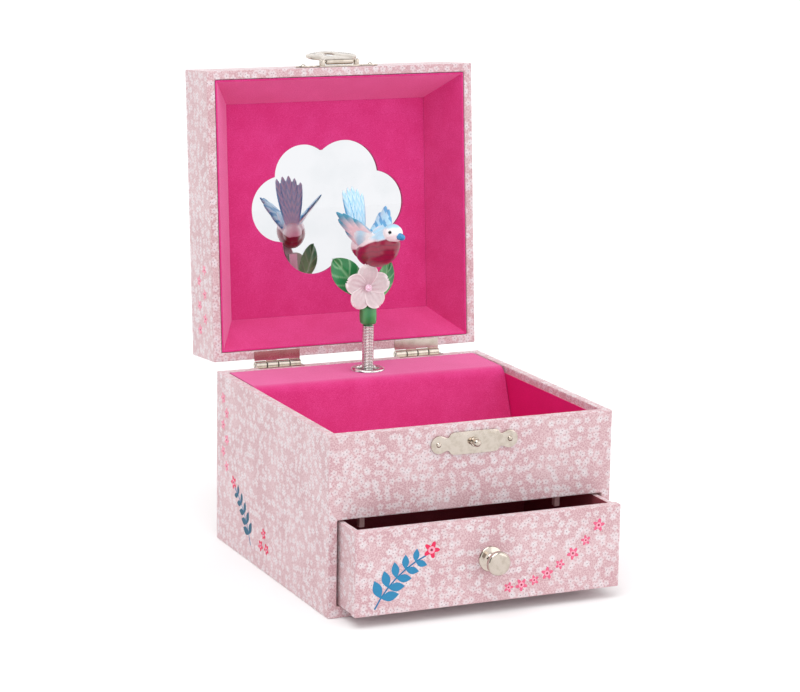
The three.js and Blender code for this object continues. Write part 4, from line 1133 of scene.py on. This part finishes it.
def leaf_shell(base, tip, width, bend, hue, colours):
    """A pointed leaf from its base to its tip, folded a little along its rib."""
    base, tip = Vector(base), Vector(tip)
    run = tip - base
    side = Vector((run.y, -run.x)).normalized()

    def surface(s, t, sink):
        half = width * math.sin(math.pi * clamp(0.05 + 0.95 * s) ** 1.3) ** 0.7
        centre = base + run * s + side * bend * math.sin(math.pi * s)
        at = centre + side * half * t
        vein = 0.12 * math.cos(26 * (s - 0.3 * abs(t)))
        rib = -0.45 * math.exp(-((t * 7) ** 2))
        return (at.x, at.y, 0.5 * abs(t) + vein * (1 - abs(t)) + rib - sink * (1 - 0.55 * abs(t)))

    def paint(s, t):
        vein = clamp(math.cos(26 * (s - 0.3 * abs(t))) * 4 - 3.0)
        rib = math.exp(-((t * 11) ** 2))
        shade = blended(colours.leaf, hue, 0.5 + 0.5 * math.sin(s * 5 + t))
        return blended(shade, tint(170, 220, 170), 0.55 * max(vein, rib))

    return sheet_shell(34, 26, lambda s, t: surface(s, t, 0), lambda s, t: surface(s, t, 1.5), paint)


def make_leaves(colours):
    spindle = joint("cylinder_spin")[0]
    spring_top = extent("stem_spring")[1].z
    middle_z = spring_top + LEAF_RISE
    foot = spring_top + 0.1
    radius = 4.5
    profile = [(0, foot - 4), (2.2, foot - 4), (2.2, foot)]
    profile += [(3.3, foot + 0.1), (3.9, foot + 0.5), (4.25, foot + 1.3)]
    for i in range(12):
        t = i / 11
        profile.append((radius * (0.96 + 0.04 * math.sin(math.pi * t)), foot + 2 + 6.2 * t))
    profile += [(4.1, foot + 9.0), (3.6, foot + 9.6), (2.6, foot + 9.9), (0, foot + 10)]
    shape = lathe(profile, 48)
    for vert in shape.verts:
        angle = math.atan2(vert.co.y, vert.co.x)
        if vert.co.z > foot + 0.4:
            swell = 1 + 0.035 * math.cos(5 * angle + 0.15 * vert.co.z)
            vert.co.x *= swell
            vert.co.y *= swell
    mesh = bpy.data.meshes.new("collar")
    shape.to_mesh(mesh)
    shape.free()
    points = [v.co + Vector((0, spindle.y, 0)) for v in mesh.vertices]
    faces = [tuple(f.vertices) for f in mesh.polygons]
    paints = [
        blended(colours.leaf, tint(74, 164, 92), 0.5 + 0.5 * math.cos(5 * math.atan2(v.co.y, v.co.x)))
        for v in mesh.vertices
    ]
    bpy.data.meshes.remove(mesh)
    leaves = (
        ((-3.0, -5.0), (-19.4, 16.2), 7.4, 0.6, tint(40, 140, 80)),
        ((4.0, -8.5), (12.6, 13.4), 4.7, 1.0, tint(120, 204, 124)),
    )
    for base, tip, width, bend, hue in leaves:
        more, rings, colour_list = leaf_shell(base, tip, width, bend, hue, colours)
        first = len(points)
        points += [Vector((x, spindle.y + 1.6 - z, middle_z + y)) for x, y, z in more]
        faces += [tuple(first + k for k in ring) for ring in rings]
        paints += colour_list
    piece = painted("leaves_and_collar", points, faces, paints, "glaze")
    shape = bmesh.new()
    shape.from_mesh(piece.data)
    bmesh.ops.remove_doubles(shape, verts=shape.verts, dist=0.01)
    stalk = block((-2.2, spindle.y + 1.0, foot + 4), (2.2, spindle.y + 3.3, middle_z + 8.4))
    part = bpy.data.meshes.new("stalk")
    stalk.to_mesh(part)
    stalk.free()
    layer = shape.verts.layers.float_color["paint"]
    before = len(shape.verts)
    shape.from_mesh(part)
    shape.verts.ensure_lookup_table()
    for vert in shape.verts[before:]:
        vert[layer] = opaque(colours.leaf)
    bpy.data.meshes.remove(part)
    bmesh.ops.recalc_face_normals(shape, faces=shape.faces)
    shape.to_mesh(piece.data)
    shape.free()
    finished(piece, "figure", ("leaf_collar",), None, 50)


class Lump:
    """One ellipsoid of the moulded bird: its middle, its three axes and radii, and its paint."""

    def __init__(self, kind, middle, axes, radii):
        self.kind = kind
        self.middle = Vector(middle)
        self.axes = [Vector(a).normalized() for a in axes]
        self.radii = radii

    def matrix(self):
        columns = [a * r for a, r in zip(self.axes, self.radii)]
        turned = Matrix((columns[0], columns[1], columns[2])).transposed().to_4x4()
        return Matrix.Translation(self.middle) @ turned

    def inside(self, points):
        """Each point in the lump's own coordinates, where its surface is at 1."""
        away = points - np.array(self.middle)
        return np.stack([away @ np.array(a) / r for a, r in zip(self.axes, self.radii)], axis=1)


def feather(kind, base, tip, face, width, thick):
    base, tip = Vector(base), Vector(tip)
    along = tip - base
    across = Vector(face).cross(along)
    out = along.cross(across)
    return Lump(kind, (base + tip) / 2, (along, across, out), (along.length * 0.52, width / 2, thick / 2))


def ball(kind, middle, radii, lift=0.0):
    turn = Matrix.Rotation(math.radians(-lift), 3, "X")
    return Lump(kind, middle, [turn @ Vector(a) for a in ((1, 0, 0), (0, 1, 0), (0, 0, 1))], radii)


def bird_lumps():
    lumps = [
        ball("body", (0, -5, 20.6), (7.9, 14.6, 8.8), 16),
        ball("body", (0, -11.5, 24.2), (6.8, 8.2, 7.6), 30),
        ball("body", (0, 5.5, 19.6), (5.2, 8.5, 5.6), -18),
        ball("body", (0, -12.5, 27.2), (5.4, 6.4, 5.4), 20),
        ball("head", (0, -16.6, 30.7), (4.9, 5.5, 5.0)),
        ball("beak", (0, -22.6, 29.7), (1.9, 2.8, 1.8), -8),
    ]
    for i in range(5):
        share = i / 2 - 1
        rise = 51.2 - 2.6 * abs(share) ** 1.5 - 1.2 * share
        tip = Vector((share * 6.6 - 1.2, 13.9 - 0.5 * abs(share), rise))
        base = Vector((share * 1.4, 7.6, 20.5))
        lumps.append(feather("tail", base, tip, (0.12 * share, -1, -0.2), 5.0 - 0.5 * abs(share), 2.1))
    for side in (-1, 1):
        span = Vector((side * 13.2, 10, 15)).normalized()
        slant = Vector((-0.2, 0.85, -0.45)) if side < 0 else Vector((0, 1, 0.1))
        normal = slant.cross(span).normalized()
        chord = span.cross(normal).normalized()
        root = Vector((side * 4.4, -1.5, 26))

        def at(u, v):
            return root + chord * u + span * v

        tips = ((-3.8, 13.5, 5.4), (-2.4, 18.2, 5.4), (-0.1, 21.0, 5.4), (2.6, 17.6, 5.2), (4.6, 11.0, 5.0))
        for k, (u, v, width) in enumerate(tips):
            start_u = -3.4 + 1.9 * k
            lumps.append(feather("wing", at(start_u, -5.5), at(u, v), normal, width, 2.3))
        lumps.append(Lump("shoulder", at(0.3, 0.5), (span, chord, normal), (8.2, 6.2, 1.9)))
    return lumps


def bird_paint(lumps, points, colours):
    """The paint on each point, from the lump whose surface is nearest and where on it the point is."""
    sky, blue, crimson = (tuple(c) for c in (colours.sky, colours.blue, colours.crimson))
    white, blush, teal = tint(240, 236, 237), tint(232, 198, 206), tint(58, 146, 176)
    inner = [lump.inside(points) for lump in lumps]
    gaps = [np.abs(np.linalg.norm(p, axis=1) - 1) * min(l.radii) for l, p in zip(lumps, inner)]
    near = np.argmin(np.stack(gaps), axis=0)
    result = []
    for index, point in enumerate(points):
        lump = lumps[near[index]]
        a, b, c = inner[near[index]][index]
        x, y, z = point
        if lump.kind == "beak":
            result.append(tint(34, 132, 186))
        elif lump.kind == "tail":
            edge = clamp((abs(b) - 0.5) / 0.3)
            barb = 0.5 + 0.5 * math.sin(a * 20 - abs(b) * 9)
            shade = blended(blended(white, sky, 0.45 + 0.4 * barb), blue, clamp(0.9 * edge + 0.16 * barb))
            result.append(blended(blended(white, sky, 0.4), shade, clamp((a + 0.75) / 0.5)))
        elif lump.kind == "wing":
            side = -1 if lump.middle.x < 0 else 1
            if c * side > 0:
                outer = clamp((a - 0.25) / 0.5)
                edge = 0.7 * clamp((abs(b) - 0.72) / 0.2)
                shade = blended(blended(white, blush, 0.7), teal, clamp(outer + edge))
            else:
                stripe = clamp(math.sin(a * 9 + b * 3.2) * 3 - 0.6)
                shade = blended(blended(white, sky, 0.75), blue, clamp(0.8 * stripe + 0.5 * (abs(b) > 0.82)))
            result.append(blended(white, shade, clamp((a + 0.55) / 0.4)))
        elif lump.kind == "shoulder":
            result.append(blended(white, sky, clamp(0.25 + 0.5 * math.sin(a * 4 + b * 2))))
        else:
            line = 20.4 + (6 - y) * 0.37 + 0.3 * math.sin(x * 0.9 + y * 0.6)
            breast = clamp((line - z) / 0.5)
            streak = clamp(math.sin(y * 0.5 + z * 2.4 + 0.8 * math.sin(y * 0.9)) * 1.6 - 0.9)
            red = blended(crimson, tint(88, 20, 52), 0.7 * streak)
            if lump.kind == "head":
                crown = clamp((z - 33.2 + (y + 17) * 0.1) / 1.2)
                upper = blended(white, sky, 0.85 * crown)
                breast = clamp((27.6 - z + (y + 18) * 0.12) / 0.5)
            else:
                saddle = clamp((z - 26.5 - 0.12 * (y + 5)) / 2.0)
                upper = blended(blended(white, blush, 0.35), sky, 0.75 * saddle)
            fringe = clamp(1 - abs(line - z) / 0.9) * 0.6
            result.append(blended(blended(upper, blush, fringe), red, breast))
        for side in (-1, 1):
            reach = (Vector((x, y, z)) - Vector((side * 4.2, -18.9, 32.0))).length
            if reach < 0.9:
                result[-1] = tint(18, 24, 30)
    return result


def make_bird(colours):
    lumps = bird_lumps()
    shape = bmesh.new()
    for lump in lumps:
        fine = 40 if lump.kind in ("body", "head") else 24
        bmesh.ops.create_uvsphere(
            shape, u_segments=fine, v_segments=fine * 2 // 3, radius=1, matrix=lump.matrix(),
        )
    piece = start("songbird", shape, ("glaze",))
    modified(piece, "REMESH", mode="VOXEL", voxel_size=0.36)
    modified(piece, "SMOOTH", factor=0.5, iterations=3)
    mesh = settle(piece)
    points = np.zeros(len(mesh.vertices) * 3, np.float32)
    mesh.vertices.foreach_get("co", points)
    paint = bird_paint(lumps, points.reshape(-1, 3), colours)
    layer = mesh.attributes.new("paint", "FLOAT_COLOR", "POINT")
    layer.data.foreach_set("color", np.asarray([opaque(c) for c in paint], float).ravel())
    spindle = joint("cylinder_spin")[0]
    middle_z = extent("stem_spring")[1].z + LEAF_RISE
    place = Matrix.Translation((1, spindle.y, middle_z)) @ Matrix.Rotation(math.radians(18), 4, "Z")
    finished(piece, "figure", ("bird",), place, 80)


# ---- Printed pictures on the paper ----
INK = {
    "rose": tint(226, 96, 132), "dot": tint(150, 24, 60), "blush": tint(240, 160, 180),
    "faint": tint(232, 140, 164), "red": tint(222, 34, 84),
    "blue": tint(34, 128, 172), "deep": tint(20, 110, 158), "teal": tint(34, 92, 118),
}
INK_STEP = 0.004  # millimetres from one printed shape up to the next


class Picture:
    """Flat coloured shapes, drawn in the plane of a wall."""

    def __init__(self):
        self.shapes = []

    def shape(self, points, ink):
        self.shapes.append((points, ink))

    def star(self, x, y, radius, ink, turn=0.0):
        points = []
        for i in range(60):
            a = 2 * math.pi * i / 60
            point = 0.5 + 0.5 * math.cos(5 * a + turn)
            r = radius * (0.46 + 0.54 * point ** 0.9)
            points.append((x + r * math.cos(a), y + r * math.sin(a)))
        self.shape(points, ink)
        self.shape(circle(x, y, radius * 0.42, 16), "blush")
        self.shape(circle(x, y, radius * 0.17, 12), "dot")

    def leaf(self, x, y, angle, size, ink, width=0.3):
        a = math.radians(angle)
        points = []
        for i in range(12):
            s = i / 12
            t = 2 * s if s < 0.5 else 2 - 2 * s
            off = width * size * math.sin(math.pi * t) * (1 if s < 0.5 else -1)
            along = size * t
            points.append((
                x + along * math.cos(a) - off * math.sin(a), y + along * math.sin(a) + off * math.cos(a),
            ))
        self.shape(points, ink)

    def stroke(self, points, width, ink):
        left, right = [], []
        for i, point in enumerate(points):
            before, after = Vector(points[max(i - 1, 0)]), Vector(points[min(i + 1, len(points) - 1)])
            run = (after - before).normalized()
            side = Vector((-run.y, run.x)) * width / 2
            left.append(tuple(Vector(point) + side))
            right.append(tuple(Vector(point) - side))
        self.shape(left + right[::-1], ink)

    def sprig(self, foot, heading, length, pairs, leaf_length, inks):
        """A bent twig with a pair of leaves at each even step, which get shorter towards its tip."""
        bend = 34
        twig = [foot]
        for i in range(pairs + 1):
            angle = heading + bend * (0.5 - i / pairs)
            x, y = twig[-1]
            step = length / (pairs + 1)
            twig.append((x + step * math.cos(math.radians(angle)), y + step * math.sin(math.radians(angle))))
        self.stroke(twig, 0.8, inks[1])
        for i, (x, y) in enumerate(twig[1:-1]):
            angle = heading + bend * (0.5 - i / pairs)
            for side in (-1, 1):
                self.leaf(x, y, angle + side * 52, leaf_length * (1 - 0.4 * i / pairs), inks[0], 0.26)

    def piece(self, name, body, place):
        whole = bmesh.new()
        layer = whole.verts.layers.float_color.new("paint")
        for order, (points, ink) in enumerate(self.shapes):
            shape = plate(points, 0.06 + INK_STEP * order)
            mesh = bpy.data.meshes.new("part")
            shape.to_mesh(mesh)
            shape.free()
            before = len(whole.verts)
            whole.from_mesh(mesh)
            bpy.data.meshes.remove(mesh)
            whole.verts.ensure_lookup_table()
            for vert in whole.verts[before:]:
                vert[layer] = opaque(INK[ink])
        piece = start(name, whole, ("print",))
        finished(piece, body, (), place)


def make_drawer_picture(sizes):
    """A leafy sprig on the left, and an even row of star flowers that climbs to the right."""
    picture = Picture()
    picture.sprig((-60, 9), 42, 36, 5, 9.5, ("blue", "deep"))
    picture.star(-31, 35, sizes.star_size * 1.3, "red", 0.4)
    count, first, last = 8, (10, 12), (58, 38)
    for i in range(count):
        share = i / (count - 1)
        x = first[0] + (last[0] - first[0]) * share
        z = first[1] + (last[1] - first[1]) * share ** 2
        picture.star(x, z, sizes.star_size * (1.0 if i % 2 else 0.8), "rose", i * 1.7)
    place = Matrix.Translation((0, extent("drawer_front")[0].y + 0.05, 0)) @ FACING
    picture.piece("drawer_picture", "drawer", place)


def make_wall_pictures(sizes):
    """The left wall of the case and of the lid: u runs towards the back, v up."""
    picture = Picture()
    picture.sprig((26, 9), 48, 34, 5, 8, ("teal", "deep"))
    picture.star(50, 36, sizes.star_size * 1.1, "red", 0.4)
    for i in range(6):
        picture.star(60 + 5 * (i % 2), 42 + 7 * i, sizes.star_size * 0.9, "faint", i * 1.3)
    for i in range(3):
        angle = math.radians(90 + 120 * i)
        picture.star(8 + 4.6 * math.cos(angle), 15 + 4.6 * math.sin(angle), sizes.star_size * 0.9, "red", i)
    wall = extent("case_side_left")[0].x
    # (u, v, thickness) to (x, y, z): the thickness goes out to the left
    sideways = Matrix(((0, 0, -1, wall + 0.05), (1, 0, 0, 0), (0, 1, 0, 0), (0, 0, 0, 1)))
    picture.piece("case_wall_picture", "case", sideways)

    picture = Picture()
    for i in range(6):
        picture.star(28 + 6.4 * i, 101 + 8 * (i % 2), sizes.star_size * 0.9, "faint", i * 2.1)
    picture.piece("lid_wall_picture", "lid", lid_open @ sideways)


# ---- Nodes that keep their shape and get their material ----
KEPT = {
    "plain": ("tray_floor", "bay_partition", "drawer_stop_left", "drawer_stop_right"),
    "lining": ("tray_lining_left", "tray_lining_right", "tray_lining_front"),
    "mirror": ("lid_mirror",),
    "nickel": ("hinge_pin_left", "hinge_pin_right", "hasp_pin"),
    "zinc": ("movement_bedplate", "spring_housing"),
    "steel": ("comb", "comb_screw_1", "comb_screw_2", "mainspring", "winding_key", "air_fly"),
    "brass": ("pinned_cylinder", "great_wheel", "governor_wheel"),
}


def dress_kept_nodes():
    for finish, nodes in KEPT.items():
        for node in nodes:
            mesh = frame["nodes"][node].data
            if not mesh.materials:
                mesh.materials.append(None)
            for slot in frame["nodes"][node].material_slots:
                slot.material = materials[finish]


# ---- Stage ----
CAMERA_AT = (-0.54448, -1.18165, 0.38603)
CAMERA_YAW, CAMERA_PITCH, CAMERA_ROLL = (math.radians(a) for a in (24.522, 11.908, 0.872))

CAMERA_LENS = 119.5  # millimetres, on a 36 mm sensor
FLOOR_HALF = 9.0  # metres
FLAGS = ((-162, 20), (-24, 10))  # bearing and half width in degrees
SUNS = {
    # strength, direction of the light, and spread in degrees
    "key": (1.35, (0.32, 0.3, -1.0), 50),
    "fill": (0.72, (-0.8, 0.45, -0.35), 70),
}


def make_stage():
    shape = bmesh.new()
    bmesh.ops.create_grid(shape, x_segments=1, y_segments=1, size=FLOOR_HALF)
    mesh = bpy.data.meshes.new("floor")
    shape.to_mesh(mesh)
    shape.free()
    floor = linked("floor", mesh)
    finish = Finish("floor")
    grain = finish.noise(finish.place(), 0.01, 2.0)
    shade = finish.mix(tint(246, 246, 246), tint(244, 244, 244), grain)
    mesh.materials.append(finish.done(Base_Color=shade, Roughness=0.9, Specular_IOR_Level=0.0))
    floor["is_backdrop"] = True

    # A white studio, a little darker overhead, with two dark flags for the bright metal to show.
    world = bpy.data.worlds.new("studio")
    bpy.context.scene.world = world
    world.use_nodes = True
    sky = Nodes(world.node_tree)
    towards = sky.add("ShaderNodeSeparateXYZ", (), {0: sky.out("ShaderNodeTexCoord")})
    x, y, z = (Value(sky, socket) for socket in towards.outputs)
    bearing = y.math("ARCTAN2", x)
    light = sky.step(z, 0.3, 0.9, 1.22, 0.72)
    for centre, half in FLAGS:
        off = (bearing - math.radians(centre)).math("ABSOLUTE")
        flag = sky.step(off, math.radians(half * 0.85), math.radians(half * 1.15), 1.0, 0.0)
        light = light * (1.0 - flag * sky.step(z, 0.72, 0.8, 0.92, 0.0))
    sky.fill(world.node_tree.nodes["Background"], {"Color": (1.0, 1.0, 1.0, 1.0), "Strength": light})

    def sun(name, strength, towards, spread):
        light = bpy.data.lights.new(name, "SUN")
        light.energy = strength
        light.angle = math.radians(spread)
        lamp = bpy.data.objects.new(name, light)
        lamp.rotation_euler = Vector(towards).to_track_quat("-Z", "Y").to_euler()
        bpy.context.scene.collection.objects.link(lamp)

    for name, lamp in SUNS.items():
        sun(name, *lamp)

    yaw, pitch, roll = CAMERA_YAW, CAMERA_PITCH, CAMERA_ROLL
    ahead = Vector((math.sin(yaw) * math.cos(pitch), math.cos(yaw) * math.cos(pitch), -math.sin(pitch)))
    right = Vector((math.cos(yaw), -math.sin(yaw), 0))
    up = right.cross(ahead)
    across = right * math.cos(roll) + up * math.sin(roll)
    above = up * math.cos(roll) - right * math.sin(roll)
    camera_data = bpy.data.cameras.new("camera")
    camera_data.sensor_width = 36
    camera_data.lens = CAMERA_LENS
    camera_data.clip_start = 0.01
    camera = bpy.data.objects.new("camera", camera_data)
    turned = Matrix((across, above, -ahead)).transposed().to_4x4()
    camera.matrix_world = Matrix.Translation(CAMERA_AT) @ turned
    bpy.context.scene.collection.objects.link(camera)
    bpy.context.scene.camera = camera
    bpy.context.scene.view_settings.view_transform = "Standard"


# ---- Operators and panel ----
class MakeMaterials(bpy.types.Operator):
    """Makes the papers, flock, metals, mirror and paints"""

    bl_idname = "jewellery_box.materials"
    bl_label = "Materials"

    def execute(self, context):
        make_materials(context.scene.jewellery_box_sizes, context.scene.jewellery_box_colours)
        return {"FINISHED"}


class MakeCase(bpy.types.Operator):
    """Makes the case's papered boards and the key's eyelet"""

    bl_idname = "jewellery_box.case"
    bl_label = "Case"

    def execute(self, context):
        make_case(context.scene.jewellery_box_sizes)
        return {"FINISHED"}


class MakeTray(bpy.types.Operator):
    """Makes the flocked pad, the ledge over the movement and its washer"""

    bl_idname = "jewellery_box.tray"
    bl_label = "Tray"

    def execute(self, context):
        make_tray(context.scene.jewellery_box_sizes)
        return {"FINISHED"}


class MakeLid(bpy.types.Operator):
    """Makes the lid's boards and its flocked lining with the cloud opening"""

    bl_idname = "jewellery_box.lid"
    bl_label = "Lid"

    def execute(self, context):
        make_lid(context.scene.jewellery_box_sizes)
        return {"FINISHED"}


class MakeDrawer(bpy.types.Operator):
    """Makes the drawer's face, its boards and its knob"""

    bl_idname = "jewellery_box.drawer"
    bl_label = "Drawer"

    def execute(self, context):
        make_drawer(context.scene.jewellery_box_sizes)
        return {"FINISHED"}


class MakeFittings(bpy.types.Operator):
    """Makes the catch, the hasp and the hinges"""

    bl_idname = "jewellery_box.fittings"
    bl_label = "Catch and hinges"

    def execute(self, context):
        make_catch(context.scene.jewellery_box_sizes)
        make_hinges()
        return {"FINISHED"}


class MakeFigure(bpy.types.Operator):
    """Makes the spring stem, the leaves, the flower and the bird"""

    bl_idname = "jewellery_box.figure"
    bl_label = "Bird and flower"

    def execute(self, context):
        make_spring(context.scene.jewellery_box_sizes)
        make_leaves(context.scene.jewellery_box_colours)
        make_flower(context.scene.jewellery_box_colours)
        make_bird(context.scene.jewellery_box_colours)
        return {"FINISHED"}


class MakePictures(bpy.types.Operator):
    """Makes the pictures printed on the drawer, the case and the lid"""

    bl_idname = "jewellery_box.pictures"
    bl_label = "Printed pictures"

    def execute(self, context):
        make_drawer_picture(context.scene.jewellery_box_sizes)
        make_wall_pictures(context.scene.jewellery_box_sizes)
        return {"FINISHED"}


class DressMovement(bpy.types.Operator):
    """Gives the movement, the linings and the pins their materials"""

    bl_idname = "jewellery_box.movement"
    bl_label = "Movement"

    def execute(self, context):
        dress_kept_nodes()
        return {"FINISHED"}


class MakeStage(bpy.types.Operator):
    """Makes the floor, the lights and the camera"""

    bl_idname = "jewellery_box.stage"
    bl_label = "Stage"

    def execute(self, context):
        make_stage()
        return {"FINISHED"}


OPERATORS = (
    MakeStage, MakeMaterials, MakeCase, MakeTray, MakeLid, MakeDrawer, MakeFittings, MakeFigure, MakePictures,
    DressMovement,
)


class JewelleryBoxPanel(bpy.types.Panel):
    """The jewellery box's sizes, colours and pieces"""

    bl_idname = "VIEW3D_PT_jewellery_box"
    bl_label = "Jewellery box"
    bl_space_type = "VIEW_3D"
    bl_region_type = "UI"
    bl_category = "Jewellery box"

    def draw(self, context):
        for group in (context.scene.jewellery_box_sizes, context.scene.jewellery_box_colours):
            for name in group.__annotations__:
                self.layout.prop(group, name)
        for operator in OPERATORS:
            self.layout.operator(operator.bl_idname)


CLASSES = (BoxSizes, BoxColours, *OPERATORS, JewelleryBoxPanel)


def register():
    for cls in CLASSES:
        bpy.utils.register_class(cls)
    bpy.types.Scene.jewellery_box_sizes = PointerProperty(type=BoxSizes)
    bpy.types.Scene.jewellery_box_colours = PointerProperty(type=BoxColours)


def unregister():
    del bpy.types.Scene.jewellery_box_colours
    del bpy.types.Scene.jewellery_box_sizes
    for cls in reversed(CLASSES):
        bpy.utils.unregister_class(cls)


def main():
    register()
    for operator in OPERATORS:
        group, name = operator.bl_idname.split(".")
        getattr(getattr(bpy.ops, group), name)()
    final_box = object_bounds()
    boxes = {"cad": cad_box, "visual": final_box}
    plain = {key: [[float(n) for n in corner] for corner in box] for key, box in boxes.items()}


if __name__ == "__main__":
    main()
